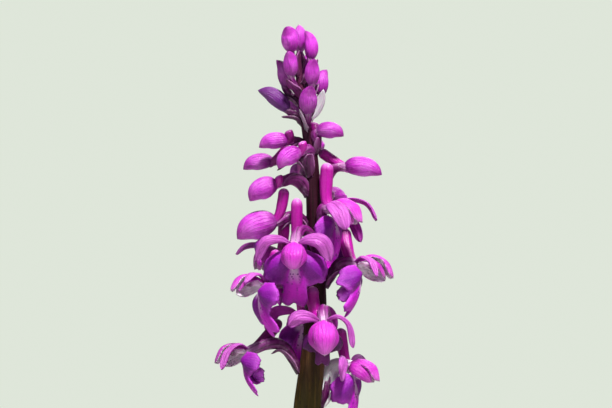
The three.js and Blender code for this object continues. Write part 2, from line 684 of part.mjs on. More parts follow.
function add(name, solid, look) {
  const mesh = new THREE.Mesh(geometryOf(solid), new THREE.MeshStandardMaterial(COLOURS[look]));
  mesh.name = name;
  orchid.add(mesh);
}

add("pot", makePot(), "clay");
add("soil", makeSoil(), "soil");
add("stem", fuse([stemSolid(0), ...tubers(0)]), "stem");
ROSETTE.forEach((leaf, k) => add(`rosette_leaf_${k + 1}`, rosetteLeaf(leaf), "leaf"));
SHEATHS.forEach((leaf, k) => add(`stem_leaf_${k + 1}`, sheathLeaf(leaf), "leaf"));
const grownStem = stemSolid(GAP);
FLORETS.forEach((floret, k) => {
  const number = String(k + 1).padStart(2, "0");
  add(`${floret.kind === "bud" ? "bud" : "flower"}_${number}`, floretSolid(floret, grownStem), "bloom");
  if (floret.kind !== "bud") add(`lip_${number}`, lipSolid(floret), "lip");
});

export default orchid;
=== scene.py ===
import math
from functools import partial
from types import SimpleNamespace as Sizes

import bmesh
import bpy
import numpy as np
from mathutils import Matrix, Vector, noise


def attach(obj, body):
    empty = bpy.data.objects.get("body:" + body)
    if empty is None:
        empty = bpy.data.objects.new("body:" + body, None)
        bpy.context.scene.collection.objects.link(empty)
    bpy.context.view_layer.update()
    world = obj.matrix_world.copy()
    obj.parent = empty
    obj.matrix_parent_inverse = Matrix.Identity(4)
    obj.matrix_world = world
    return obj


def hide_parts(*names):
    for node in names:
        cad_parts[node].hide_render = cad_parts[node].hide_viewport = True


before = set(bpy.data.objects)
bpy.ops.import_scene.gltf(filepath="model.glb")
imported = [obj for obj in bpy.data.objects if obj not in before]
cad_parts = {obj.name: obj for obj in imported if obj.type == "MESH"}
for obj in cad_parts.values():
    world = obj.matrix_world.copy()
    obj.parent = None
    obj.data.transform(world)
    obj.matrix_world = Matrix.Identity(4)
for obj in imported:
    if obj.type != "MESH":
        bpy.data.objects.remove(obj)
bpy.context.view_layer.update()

# Driving dimensions, in millimetres and degrees, as in the solids that these pieces replace
MM = 0.001
GAP = 0.3
WELD = 0.002
TINY = 1e-6
POT = Sizes(height=110, top_radius=62, foot_radius=45, wall=5, floor=7, rim_height=20,
            rim_proud=3.5, holes=4, hole_radius=4, hole_circle=24, hole_sides=24, sides=168,
            corner=1.6, longest=3.0, wear=0.12)
SOIL = Sizes(top=99, mound=3, lump=0.7, crumb=0.75, dip=3.4, grit=620, moss=9)
STEM_FOOT = 84
STEM_CROWN = 3.4
TUBER = Sizes(radius=9, length=26, apart=10.5, middle=70)
LEAF = Sizes(thickness=0.6, solid_thickness=0.9, root=5.3, cup_at_root=55, cup_at_tip=14)
NECK_SUNK = 4
PETAL_THICKNESS = 0.42
OVARY = Sizes(radius=1.1, rise=60, sunk=0.4, arch=0.55)
SPUR = Sizes(radius=1.25, length=8.5, aside=0.7)
LIP = Sizes(spread=0.35, hang=36, bend=0.045, roll_radius=5, dome=1.3)
AGES = Sizes(grown=285, youngest=325, youngest_ovary=0.55, young_bract=1.4, grown_bract=1.8)

# Points of the stem's axis, and its radius there: x, y, height, radius
STEM_AXIS = [
    (0, 0, STEM_FOOT - 12, 3.0), (0, 0, 100, STEM_CROWN), (-1.0, 0.6, 150, 3.4),
    (-1.2, 0.8, 200, 3.3), (0, 0.4, 248, 3.15), (1.5, 0, 260, 2.8), (2.2, 0, 271, 2.25),
    (2.0, 0, 280, 1.95), (1.6, 0, 292, 1.8), (0.9, 0, 304, 1.5), (-0.6, 0, 313, 1.15),
    (-1.8, 0.2, 321, 0.85), (-2.0, 0.3, 326, 0.5),
]

# Rosette leaves: bearing, length, half width, rise and droop
ROSETTE = [
    (-62, 118, 13.5, 30, 14), (2, 112, 12.5, 38, 8), (58, 122, 13.5, 28, 16),
    (121, 108, 12.5, 42, 4), (179, 120, 14, 31, 15), (240, 104, 12, 46, 0),
]

# Stem leaves: bearing, foot, wrapped length, length, half width and lean
SHEATHS = [(205, 113, 36, 92, 8, 14), (20, 158, 40, 78, 6, 9)]

# What a floret has where its row says nothing else
USUAL = dict(
    size=1, tilt=0, foot_turn=0, arch=OVARY.arch, tail=0, aside=SPUR.aside, behind=0,
    bract_reach=0.85, bract_half=None, bract_turn=0, spread=LIP.spread, hang=LIP.hang,
    roll_radius=LIP.roll_radius, lip=1, withered=False, petals=(1, 1), wings=({}, {}),
    # tone and blue: partly the floret's own colour, partly painted shade; pale: partly a paler
    # bract, partly painted highlight
    tone=1, spur_tone=1, pale=0, blue=0,
)


def floret(kind, foot, base, way, body=None, **shape):
    """foot is the height and bearing where the ovary leaves the stem, base its reach and rise from
    there to the flower, way the flower's bearing and angle below level, and body a bud's length and
    half width. back and tail are the spur's angle and length."""
    seat = dict(up=foot[0], around=foot[1], reach=base[0], rise=base[1], face=way[0], nod=way[1])
    return Sizes(**{**USUAL, **seat, **shape}, kind=kind, body=body)


bud = partial(floret, "bud")
flower = partial(floret, "open", tail=SPUR.length, bract_reach=0.65)


FLORETS = [
    bud((322.5, 80), (1.5, 4.6), (100, -84), (5.4, 1.5), tone=0.95),
    bud((321.0, 236), (3.2, 6.0), (245, -68), (5.2, 1.95), bract_turn=115, tone=1.1),
    bud((319.5, 330), (2.6, 5.8), (210, -82), (5.8, 1.5), tone=1.2),
    bud((316.5, 236), (4.4, 5.0), (250, -74), (5.2, 1.6)),
    bud((315.0, 294), (5.1, 4.6), (284, -74), (5.4, 1.6), bract_turn=105),
    bud((317.0, 70), (3.4, 4.0), (80, -76), (5.2, 1.5), tone=0.8),
    bud((314.5, 168), (4.2, 4.6), (165, -76), (5.8, 1.5), tone=0.7),
    bud((311.4, 20), (3.8, 6.1), (40, -78), (5.2, 1.6), tone=0.9, bract_turn=-100, bract_reach=1,
        bract_half=1.5, pale=0.8),
    bud((309.2, 272), (5.0, 4.0), (290, -70), (5.9, 1.95), bract_turn=-75, bract_reach=1, tone=0.75,
        pale=0.3),
    bud((310.5, 186), (4.6, 3.4), (182, -38), (7.2, 1.8), tone=0.42, blue=0.7),
    bud((309.5, 108), (5.2, 3.2), (118, -42), (6.0, 1.7), tone=0.8),
    bud((304.0, 330), (2.2, 4.8), (350, 6), (5.4, 1.8), back=120, tail=1.8, tone=0.85,
        spur_tone=0.5),
    bud((305.0, 192), (5.6, 1.6), (190, 8), (6.0, 1.8), back=95, tail=2.0, spur_tone=0.5),
    bud((303.5, 84), (6.6, 2.0), (80, 5), (6.0, 1.8), back=110, tail=3.5),
    bud((300.5, 160), (9.8, 1.6), (172, 10), (6.2, 1.8), back=150, tail=5, tone=0.9, spur_tone=0.5),
    bud((299.0, 240), (6.5, 5.0), (208, 30), (5.8, 1.95), arch=0.9, back=130, tail=2),
    bud((296.0, 3), (7.6, 5.0), (355, 8), (7.7, 2.15), back=160, tail=6.6, bract_turn=-80),
    bud((296.5, 108), (7.8, 3.4), (104, 14), (7.0, 2.1), back=145, tail=6),
    bud((294.6, 203), (9.4, 2.4), (188, 28), (6.4, 2.35), arch=0.8, back=135, tail=1.6,
        bract_turn=70),
    bud((291.6, 62), (8.0, 3.2), (66, 20), (7.0, 2.1), back=140, tail=5),
    floret("opening", (287.0, 194), (9.4, 1.9), (188, 20), (8.8, 3.0), arch=0.75, back=126,
           tail=7.2, hang=60, lip=0.5),
    flower((286.8, 311), (4.8, 5.0), (332, 28), back=122, size=1.12, spread=0, lip=0.72,
           wings=[dict(sweep=0.95, width=0.85),
           dict(sweep=0.75, lift=0.2, raised=0.35, width=0.5, length=1.2)]),
    flower((279.5, 150), (9.2, 2.4), (146, 35), back=135, lip=0.92, tone=0.75, wings=[dict(),
           dict(sweep=0.9, raised=1.1, width=0.6)]),
    flower((278.4, 239), (9.2, 5.2), (266, 50), foot_turn=55, arch=1.2, back=142, tail=10,
           aside=0.2, behind=3.2, hang=24, spread=0.5, lip=1.1, wings=[dict(width=0.6, length=1.05),
           dict(width=0.84)]),
    flower((284.0, 74), (8.4, 3.4), (66, 36), back=135),
    flower((274.6, 355), (8.6, 4.9), (346, 26), tilt=-28, back=134, tail=7.6, size=1.15, hang=54,
           spread=0, lip=0.85, petals=(0.3, 1), roll_radius=3.5,
           wings=[dict(sweep=1, raised=-0.3, width=0.4, length=0.75),
           dict(sweep=0.55, lift=0.9, raised=0.4, width=0.9)]),
    flower((270.4, 199), (12.4, 4.6), (204, 15), tilt=28, back=131, hang=59, spread=0.5,
           petals=(1, 0.35), wings=[dict(lift=0.7, sweep=0.3, raised=0.3),
           dict(sweep=0.9, raised=0.2, width=0.5, length=0.8)]),
    flower((264.0, 108), (9.0, 3.6), (106, 35), back=135),
    flower((261.0, 284), (7.8, 5.6), (274, 56), foot_turn=45, arch=1.2, back=151, tail=6.4,
           behind=3.2, size=1.18, lip=0.55, hang=20, withered=True, aside=-1.6,
           wings=[dict(lift=0.35, width=0.62, length=0.8), dict(droop=1, width=0.34, roll=1)]),
    flower((255.8, 185), (14, 4.6), (186, 26), tilt=28, arch=0.75, back=158, tail=10, hang=58,
           spread=0, lip=0.85, roll_radius=3.8, petals=(1, 0.4), aside=-1.6, tone=0.85,
           spur_tone=0.45, wings=[dict(lift=0.4, sweep=0.6, raised=0.3, width=0.8),
           dict(sweep=0.95, raised=-0.5, width=0.5)]),
    flower((247.5, 26), (10.4, 9.2), (338, 30), back=135, spread=0.1, bract_half=2.5,
           bract_turn=-112, bract_reach=1, pale=1),
]

# The lip's edge: angle from its midline and distance from the throat
LIP_EDGE = [(0, 9.8), (6, 10.7), (14, 10.2), (22, 6.8), (34, 7.2), (56, 8.3), (84, 6.6), (116, 2.8)]

# The photograph's frame: 612 x 408 pixels of PIXEL millimetres each
PICTURE = (612, 408)
PIXEL = 0.22
VIEW_CENTRE = (-0.22, 0, 292.9)
CAMERA_DISTANCE = 1200

# The paper behind the plant, as the camera sees it, and the sky that lights it
PAPER = (0.80, 0.86, 0.76)
PAPER_LIGHT = 0.92
SKY = (0.90, 0.95, 1.0)
SKY_LIGHT = 0.12

# The floor's disc, in metres, and the reach over which it turns from lit to paper
FLOOR = Sizes(radius=6, sides=96, near=0.2, far=1.4)

# Lamps, in metres: name, place, width, watts and colour
LAMPS_AIM = (0, 0, 0.27)
LAMPS = [
    ("key", (0.2, -0.52, 1.3), 0.16, 26, (1, 0.985, 0.95)),
    ("fill", (-0.9, -0.8, 0.45), 0.9, 1.8, (0.94, 0.97, 1)),
    ("back", (0.3, 1.0, 0.9), 0.7, 3.0, (0.97, 1, 0.95)),
]

rng = np.random.default_rng(7)


# Small helpers

def unit(v):
    return v / np.linalg.norm(v, axis=-1, keepdims=True)


def rad(degrees):
    return np.radians(degrees)


def lerp(a, b, share):
    return a + (b - a) * share


def smoothstep(low, high, x):
    t = np.clip((x - low) / (high - low), 0, 1)
    return t * t * (3 - 2 * t)


def bump_at(x, middle, width):
    return np.exp(-(((x - middle) / width) ** 2))


def ring(sides):
    """The angles of a ring's points."""
    return np.arange(sides) * 2 * np.pi / sides


def toward(bearing):
    """The level direction of a bearing in degrees."""
    return np.array([math.cos(rad(bearing)), math.sin(rad(bearing)), 0])


def circle(radius, angle, z, x=0, y=0):
    """Points round an upright axis."""
    across, away = x + radius * np.cos(angle), y + radius * np.sin(angle)
    return np.stack([across, away, np.zeros_like(across) + z], -1)


def even(degrees):
    """An angle that is the same all along a blade."""
    return lambda s: np.full_like(s, rad(degrees))


def linked(name, data):
    """A new object in the scene."""
    made = bpy.data.objects.new(name, data)
    bpy.context.scene.collection.objects.link(made)
    return made


class Path:
    """A smooth curve, read by share of its length."""

    def __init__(self, fine):
        steps = np.linalg.norm(np.diff(fine, axis=0), axis=1)
        self.fine = fine
        self.share = np.concatenate([[0], np.cumsum(steps)]) / steps.sum()

    @classmethod
    def through(cls, points, samples=60):
        """The centripetal Catmull-Rom curve through the points."""
        p = np.array(points, float)
        p = np.vstack([2 * p[0] - p[1], p, 2 * p[-1] - p[-2]])
        knots = np.sqrt(np.linalg.norm(np.diff(p, axis=0), axis=1))
        pieces = []
        for k in range(1, len(p) - 2):
            d0, d1, d2 = knots[k - 1:k + 2]
            m1 = (p[k] - p[k - 1]) / d0 - (p[k + 1] - p[k - 1]) / (d0 + d1) + (p[k + 1] - p[k]) / d1
            m2 = (p[k + 1] - p[k]) / d1 - (p[k + 2] - p[k]) / (d1 + d2) + (p[k + 2] - p[k + 1]) / d2
            u = np.linspace(0, 1, samples, endpoint=False)[:, None]
            rise, run = p[k + 1] - p[k], d1
            pieces.append(p[k] + u * m1 * run + u**2 * (3 * rise - (2 * m1 + m2) * run)
                          + u**3 * ((m1 + m2) * run - 2 * rise))
        return cls(np.vstack(pieces + [p[-2:-1]]))

    @classmethod
    def bezier(cls, a, b, c, d, samples=120):
        u = np.linspace(0, 1, samples + 1)[:, None]
        return cls(a * (1 - u)**3 + 3 * b * u * (1 - u)**2 + 3 * c * u**2 * (1 - u) + d * u**3)

    def at(self, s):
        return np.stack([np.interp(s, self.share, self.fine[:, k]) for k in range(3)], -1)

    def along(self, s, step=0.004):
        s = np.asarray(s, float)
        return unit(self.at(np.clip(s + step, 0, 1)) - self.at(np.clip(s - step, 0, 1)))


class Shape:
    """A piece in the making, in millimetres. Each vertex has its place on its part, as share along,
    share across and inner face; its flat place in millimetres; and its mood, which is tone, pale
    and blue."""

    def __init__(self):
        self.rows = dict(points=[], place=[], flat=[], mood=[])
        self.faces, self.looks, self.count = [], [], 0

    def add(self, points, place, flat, faces, look, mood=(1, 0, 0)):
        points = np.asarray(points, float).reshape(-1, 3)
        mood = np.tile(np.asarray(mood, float), (len(points), 1))
        for rows, value in zip(self.rows.values(), (points, place, flat, mood)):
            rows.append(np.asarray(value, float).reshape(-1, 3))
        self.faces += [tuple(int(i) + self.count for i in face) for face in faces]
        self.looks += [look] * len(faces)
        self.count += len(points)

    def add_plain(self, points, faces, look, mood=(1, 0, 0)):
        """Adds faces whose look needs no place on a part."""
        nowhere = np.zeros_like(points)
        self.add(points, nowhere, nowhere, faces, look, mood)

    def move(self, matrix):
        m = np.array(matrix)
        self.rows["points"] = [p @ m[:3, :3].T + m[:3, 3] for p in self.rows["points"]]

    def take(self, other):
        for key, rows in other.rows.items():
            self.rows[key] += rows
        self.faces += [tuple(i + self.count for i in face) for face in other.faces]
        self.looks += other.looks
        self.count += other.count

    def piece(self, name, node, slot):
        """The finished object: welded, shaded smooth, and standing for its node."""
        mesh = bpy.data.meshes.new(name)
        mesh.from_pydata((np.vstack(self.rows["points"]) * MM).tolist(), [], self.faces)
        for key in ("place", "flat", "mood"):
            layer = mesh.attributes.new(key, "FLOAT_VECTOR", "POINT")
            values = np.vstack(self.rows[key]).astype(np.float32)
            layer.data.foreach_set("vector", values.ravel())
        looks = sorted(set(self.looks))
        for look in looks:
            mesh.materials.append(material(look))
        numbers = [looks.index(look) for look in self.looks]
        mesh.polygons.foreach_set("material_index", numbers)
        work = bmesh.new()
        work.from_mesh(mesh)
        bmesh.ops.remove_doubles(work, verts=work.verts, dist=WELD * MM)
        bmesh.ops.recalc_face_normals(work, faces=work.faces)
        work.to_mesh(mesh)
        work.free()
        mesh.shade_smooth()
        piece = linked(name, mesh)
        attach(piece, "root")
        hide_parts(node)
        return piece


def grid(rows, columns, flip=False, closed=False):
    """Faces of a grid of points in rows. closed joins the last column to the first."""
    faces = []
    wide = columns if closed else columns + 1
    for i in range(rows):
        for j in range(columns):
            a, b = i * wide + j, i * wide + (j + 1) % wide
            face = (a, a + wide, b + wide, b)
            faces.append(face[::-1] if flip else face)
    return faces


def capped(rows, sides):
    """Faces of a closed tube of rings, with a fan at each end round a last point."""
    faces = grid(rows, sides, closed=True)
    last = (rows + 1) * sides
    for j in range(sides):
        k = (j + 1) % sides
        faces += [(last, j, k), (last + 1, last - sides + k, last - sides + j)]
    return faces


def taken(work):
    """The points and faces of a bmesh, which is freed."""
    work.verts.index_update()
    points = np.array([v.co for v in work.verts])
    faces = [tuple(v.index for v in face.verts) for face in work.faces]
    work.free()
    return points, faces


def blade(shape, look, path, face, half, cup, thickness, rows, columns, relief=None,
          mood=(1, 0, 0)):
    """A leaf or petal: a strip along a path, with two faces that meet round its edge. face, half
    and cup give the way it faces, its half width and its bend across, by the share s of its length,
    and relief(s, t) raises both faces, in millimetres."""
    s, t = np.linspace(0, 1, rows + 1), np.linspace(-1, 1, columns + 1)
    share, cross = np.meshgrid(s, t, indexing="ij")
    along = path.along(s)
    across = unit(np.cross(face(s), along))
    out = np.cross(along, across)
    turn = cross * cup(s)[:, None]
    turn = np.where(np.abs(turn) < TINY, TINY, turn)
    wide = half(s)[:, None]
    radius = cross * wide / turn
    raised = relief(share, cross) if relief else 0
    body = np.sqrt(np.clip(1 - cross**4, 0, 1)) * np.clip(np.sin(np.pi * share) * 4, 0, 1)
    flat = np.stack([share * path_length(path), cross * wide, 0 * share], -1)
    for side in (1, -1):
        step = raised + side * body * thickness / 2
        lift = radius * (1 - np.cos(turn)) + step * np.cos(turn)
        aside = radius * np.sin(turn) - step * np.sin(turn)
        points = path.at(s)[:, None] + across[:, None] * aside[..., None]
        points = points + out[:, None] * lift[..., None]
        place = np.stack([share, cross, np.full_like(share, max(side, 0))], -1)
        shape.add(points, place, flat, grid(rows, columns, flip=side < 0), look, mood)


def path_length(path):
    return np.linalg.norm(np.diff(path.fine, axis=0), axis=1).sum()


def tube(shape, look, path, radius, sides, rows, crowded=0, mood=(1, 0, 0)):
    """A round solid along a path. radius(s, angle) is its radius. crowded moves its rings towards
    both ends, from 0, evenly spaced, to 1."""
    u = np.linspace(0, 1, rows + 1)
    s = lerp(u, (1 - np.cos(np.pi * u)) / 2, crowded)
    along, middle = path.along(s), path.at(s)
    normal = np.array([0, 0, 1.0]) if abs(along[0][2]) < 0.9 else np.array([1.0, 0, 0])
    angle, level = ring(sides), np.zeros(sides)
    points, place, flat = [], [], []
    for k, share in enumerate(s):
        normal = unit(normal - along[k] * normal.dot(along[k]))
        binormal = np.cross(along[k], normal)
        reach = radius(share, angle) * np.ones(sides)
        points.append(middle[k] + np.outer(reach * np.cos(angle), normal)
                      + np.outer(reach * np.sin(angle), binormal))
        place.append(np.stack([level + share, angle / np.pi - 1, level], -1))
        flat.append(np.stack([level + share * path_length(path), reach * angle, level], -1))
    points += [middle[:1], middle[-1:]]
    place += [[[0, 0, 0]], [[1, 0, 0]]]
    flat += [[[0, 0, 0]], [[path_length(path), 0, 0]]]
    shape.add(np.vstack(points), np.vstack(place), np.vstack(flat), capped(rows, sides), look, mood)


def outline(s, widest, peak, point, foot=0.0):
    """Half width of a leaf outline at share s: widest at peak, rounder ends for a small point."""
    rise = (np.clip(s, 0, 1) / peak) ** (peak * point)
    fall = (np.clip(1 - s, 0, 1) / (1 - peak)) ** ((1 - peak) * point)
    return np.maximum(widest * rise * fall, foot * (1 - s / 0.3))


def fixed(*v):
    """A direction that is the same all along a blade."""
    return lambda s: np.tile(np.array(v, float), (len(s), 1))


# Materials

# How far red, green and blue light scatter below the surface, and the depth of that in metres
PETAL_SCATTER = (1, 0.4, 0.7)
GREEN_SCATTER = (0.4, 1, 0.2)
SCATTER_DEPTH = 0.0008
COAT_ROUGHNESS = 0.25


class Nodes:
    """A material's nodes, with short calls for the few kinds used here. Its base colour is laid on
    in layers."""

    def __init__(self, name):
        self.material = bpy.data.materials.new(name)
        self.material.use_nodes = True
        self.tree = self.material.node_tree
        self.shader = self.tree.nodes["Principled BSDF"]
        self.spot = self.node("TexCoord").outputs["Object"]
        self.base = None

    def node(self, kind, inputs=(), **settings):
        made = self.tree.nodes.new("ShaderNode" + kind)
        for key, value in settings.items():
            setattr(made, key, value)
        for key, value in dict(inputs).items():
            self.feed(made.inputs[key], value)
        return made

    def feed(self, socket, value):
        if isinstance(value, bpy.types.NodeSocket):
            self.tree.links.new(value, socket)
        else:
            socket.default_value = colour(value) if isinstance(value, str) else value

    def attribute(self, name):
        vector = self.node("Attribute", attribute_name=name).outputs["Vector"]
        return self.node("SeparateXYZ", {0: vector}).outputs

    def height(self):
        return self.node("SeparateXYZ", {0: self.spot}).outputs[2]

    def flat(self):
        """The flat place on a blade, as one vector."""
        x, y, _ = self.attribute("flat")
        return self.node("CombineXYZ", {0: x, 1: y, 2: 0}).outputs[0]

    def math(self, operation, *values):
        return self.node("Math", dict(enumerate(values)), operation=operation).outputs[0]

    def times(self, a, b):
        return self.math("MULTIPLY", a, b)

    def range(self, value, low, high, to_low=0, to_high=1, kind="LINEAR"):
        inputs = {0: value, 1: low, 2: high, 3: to_low, 4: to_high}
        return self.node("MapRange", inputs, interpolation_type=kind).outputs[0]

    def rising(self, value, low, high):
        return self.range(value, low, high, 0, 1, "SMOOTHSTEP")

    def falling(self, value, low, high):
        return self.range(value, low, high, 1, 0, "SMOOTHSTEP")

    def ramp(self, value, *stops):
        made = self.node("ValToRGB", {0: value})
        elements = made.color_ramp.elements
        while len(elements) < len(stops):
            elements.new(0.5)
        for element, (position, shade) in zip(elements, stops):
            element.position = position
            element.color = colour(shade)
        return made.outputs[0]

    def noise(self, scale, detail=3, rough=0.5, at=None):
        at = self.spot if at is None else at
        inputs = {"Vector": at, "Scale": scale, "Detail": detail, "Roughness": rough}
        return self.node("TexNoise", inputs).outputs["Fac"]

    def cells(self, scale, at=None):
        inputs = {"Vector": self.spot if at is None else at, "Scale": scale}
        return self.node("TexVoronoi", inputs).outputs["Distance"]

    def stretched(self, x, y, z, at=None):
        return self.node("Mapping", {0: self.spot if at is None else at, 3: (x, y, z)}).outputs[0]

    def mix(self, share, a, b):
        return self.node("Mix", {0: share, 6: a, 7: b}, data_type="RGBA").outputs[2]

    def over(self, share, shade):
        """Lays a colour over the base, as thickly as share says."""
        self.base = self.mix(share, self.base, shade)

    def tint(self, mask, most, shade):
        self.over(self.times(mask, most), shade)

    def stain(self, value, low, high, most, shade):
        self.over(self.range(value, low, high, 0, most), shade)

    def moody(self, white="#efe4f0", blue="#2c1a72"):
        """Brightens the base by its part's tone, pales it and turns it blue by its mood. Tone and
        blue are partly each floret's own colour and partly painted shade on florets that lie in
        shade; pale is partly a paler bract and partly painted highlight.
        """
        tone, pale, shift = self.attribute("mood")[:3]
        self.base = self.node("HueSaturation", {"Value": tone, "Color": self.base}).outputs[0]
        self.tint(pale, 0.85, white)
        self.tint(shift, 0.55, blue)

    def bump(self, distance, strength, *heights):
        """Adds up heights, each with its share, in one bump."""
        total = 0
        for share, height in heights:
            total = self.math("MULTIPLY_ADD", height, share, total)
        inputs = {"Strength": strength, "Distance": distance, "Height": total}
        return self.node("Bump", inputs).outputs[0]

    def finish(self, roughness, normal=None, soft=0, scatter=PETAL_SCATTER, coat=0, shine=0.5):
        shader = self.shader.inputs
        self.feed(shader["Base Color"], self.base)
        self.feed(shader["Roughness"], roughness)
        if normal is not None:
            self.feed(shader["Normal"], normal)
        shader["Subsurface Weight"].default_value = soft
        shader["Subsurface Radius"].default_value = scatter
        shader["Subsurface Scale"].default_value = SCATTER_DEPTH
        shader["Coat Weight"].default_value = coat
        shader["Coat Roughness"].default_value = COAT_ROUGHNESS
        shader["Specular IOR Level"].default_value = shine
        return self.material


def colour(code):
    """A colour for a socket from its usual code, such as #a8078e."""
    parts = [int(code[k:k + 2], 16) / 255 for k in (1, 3, 5)]
    linear = [c / 12.92 if c <= 0.04045 else ((c + 0.055) / 1.055) ** 2.4 for c in parts]
    return (*linear, 1.0)


def veined(n, count, wander=0.35):
    """Lines that run along a part: 1 on a vein, 0 between, for each 1/count of its half width."""
    across = n.attribute("place")[1]
    moved = n.math("MULTIPLY_ADD", n.noise(0.9, 2, at=n.flat()), wander, across)
    wave = n.math("PINGPONG", n.times(moved, count), 0.5)
    return n.falling(wave, 0, 0.16)


def petal_look(name, foot, body, tip, edge, inner, vein, veins=3, most_inside=0.95, inner_side=-1):
    n = Nodes(name)
    along, across, inside = n.attribute("place")
    n.base = n.ramp(along, (0, foot), (0.28, body), (0.72, body), (1, tip))
    n.tint(n.math("POWER", n.math("ABSOLUTE", across), 3), 0.5, edge)
    # The inner face, near white: partly its own pale colour, partly painted light for light that
    # shines through into the shaded hood
    n.tint(inside if inner_side > 0 else n.math("SUBTRACT", 1, inside), most_inside, inner)
    lines = veined(n, veins)
    n.tint(lines, 0.24, vein)
    n.stain(n.noise(420, 4, 0.6), 0.45, 0.75, 0.28, edge)
    n.stain(n.noise(260, 2), 0.5, 0.3, 0.35, foot)
    grain = n.noise(2600, 2, 0.6)
    n.stain(grain, 0.3, 0.7, 0.12, foot)
    n.moody()
    normal = n.bump(0.00018, 0.6, (0.6, n.cells(5200)), (0.9, lines), (0.5, grain))
    return n.finish(n.range(grain, 0.3, 0.7, 0.3, 0.5), normal, soft=0.12, shine=0.32)


def bud_look():
    n = Nodes("bud")
    # Along the bud: dark at its foot, painted shade where the bud meets its ovary, and brightest
    # towards its middle
    n.base = n.ramp(n.attribute("place")[0], (0, "#6a0c6a"), (0.25, "#b424b2"), (0.6, "#d844dc"),
                    (0.88, "#c030bc"), (1, "#981694"))
    lines = veined(n, 12, 0.08)
    n.tint(lines, 0.35, "#7a0c7c")
    blush = n.noise(300, 3, 0.6)
    n.stain(blush, 0.45, 0.72, 0.45, "#f08cf4")
    n.stain(blush, 0.46, 0.3, 0.45, "#8c1692")
    grain = n.noise(2600, 2, 0.6)
    n.stain(grain, 0.3, 0.7, 0.16, "#5a0c58")
    n.moody()
    normal = n.bump(0.00018, 0.6, (0.6, n.cells(5200)), (1, lines), (0.5, grain))
    return n.finish(n.range(grain, 0.3, 0.7, 0.28, 0.45), normal, soft=0.1, shine=0.42)


def spur_look():
    n = Nodes("spur")
    n.base = n.ramp(n.attribute("place")[0], (0, "#dc8cd4"), (0.08, "#c43cb8"), (0.25, "#b8069e"),
                    (0.86, "#b00a98"), (0.96, "#d468cc"), (1, "#f0b0e8"))
    lines = veined(n, 4, 0.1)
    n.tint(lines, 0.3, "#6a005c")
    grain = n.noise(1900, 3, 0.6)
    n.stain(grain, 0.4, 0.7, 0.25, "#cc3cc0")
    n.moody()
    normal = n.bump(0.00014, 0.5, (0.5, n.cells(5200)), (0.6, lines), (0.5, grain))
    return n.finish(0.34, normal, soft=0.15, shine=0.42)


def ovary_look():
    n = Nodes("ovary")
    along, across, _ = n.attribute("place")
    # Along the ovary: dark maroon from the stem, then pale over its last stretch, partly the
    # flower's pale base and partly painted highlight on top of its arch
    n.base = n.ramp(along, (0, "#38042e"), (0.4, "#5a0a50"), (0.75, "#8c2484"), (0.93, "#c88cc6"),
                    (1, "#d8b4d6"))
    rib = n.math("PINGPONG", n.math("MULTIPLY_ADD", along, 1.1, n.times(across, 3)), 0.5)
    n.tint(n.falling(rib, 0, 0.2), 0.6, "#20031a")
    streak = n.noise(900, 3, 0.6)
    n.stain(streak, 0.5, 0.75, 0.5, "#a06a9c")
    n.moody()
    normal = n.bump(0.00014, 0.5, (0.7, streak), (0.5, n.cells(4200)))
    return n.finish(0.36, normal, soft=0.12, shine=0.4)


def bract_look():
    n = Nodes("bract")
    along, across, inside = n.attribute("place")
    n.base = n.ramp(along, (0, "#6a2c54"), (0.3, "#7c2870"), (0.75, "#862c7c"), (1, "#5c1054"))
    n.tint(inside, 0.4, "#d8a8d6")
    lines = veined(n, 2.5, 0.1)
    n.tint(lines, 0.6, "#4a1242")
    streak = n.noise(900, 3, 0.6, n.stretched(1, 1, 0.3))
    n.stain(streak, 0.45, 0.7, 0.45, "#3c1638")
    # Pale edges: painted highlight along the bract's edges
    n.tint(n.math("POWER", n.math("ABSOLUTE", across), 4), 0.5, "#c08cbc")
    n.moody("#f2eef6")
    normal = n.bump(0.00015, 0.5, (0.8, lines), (0.6, streak))
    return n.finish(0.4, normal, soft=0.25, shine=0.35)


def lip_look(name="lip", withered=0):
    n = Nodes(name)
    along, across, _ = n.attribute("place")
    wide = n.math("ABSOLUTE", across)
    flat = n.flat()
    shaken = n.math("MULTIPLY_ADD", n.noise(0.5, at=flat), 0.12, wide)
    # Across the lip: vivid magenta down the middle lobe, dark violet over the middle of each side
    # lobe as painted shade, lighter towards the lobes' outer edges as painted light; then a lighter
    # rim at the far edge, also painted light
    n.base = n.ramp(shaken, (0.1, "#dc1cd8"), (0.2, "#c00cc0"), (0.32, "#74047c"),
                    (0.56, "#7c0490"), (0.8, "#a818b4"), (0.95, "#c43ccc"))
    n.tint(n.rising(along, 0.8, 1), 0.55, "#d04cdc")
    fan = n.math("SINE", n.times(across, 46))
    branch = n.noise(1.1, at=n.stretched(0.35, 1.6, 1, flat))
    lines = n.rising(n.math("MULTIPLY_ADD", branch, 1.6, fan), 1.1, 1.9)
    n.tint(lines, 0.14, "#4c0070")
    pale = n.times(n.falling(wide, 0.04, 0.2), n.falling(along, 0.25, 0.6))
    throat = n.times(n.falling(along, 0.06, 0.26), 0.85)
    n.over(n.math("MAXIMUM", pale, throat), "#dcb8dc")
    spots = n.times(n.falling(n.cells(1.35, flat), 0.2, 0.32), n.falling(along, 0.5, 0.85))
    n.tint(n.times(spots, n.falling(wide, 0.3, 0.5)), 0.9, "#6a0a7c")
    grain = n.noise(2600, 2, 0.6)
    n.stain(grain, 0.3, 0.75, 0.2, "#a83cc8")
    n.over(withered, "#2a0626")
    n.moody()
    normal = n.bump(0.00018, 0.6, (0.9, n.cells(4600)), (0.6, grain), (0.25, lines))
    return n.finish(0.45, normal, soft=0.08, shine=0.28)


def column_look():
    n = Nodes("column")
    n.base = n.ramp(n.attribute("place")[0], (0, "#e8d4e8"), (0.5, "#e0b8dc"), (0.72, "#7c2a78"),
                    (1, "#5c1450"))
    grain = n.noise(2200, 2, 0.6)
    n.stain(grain, 0.4, 0.7, 0.3, "#f6ecf6")
    return n.finish(0.4, n.bump(0.0001, 0.4, (1, grain)), soft=0.3)


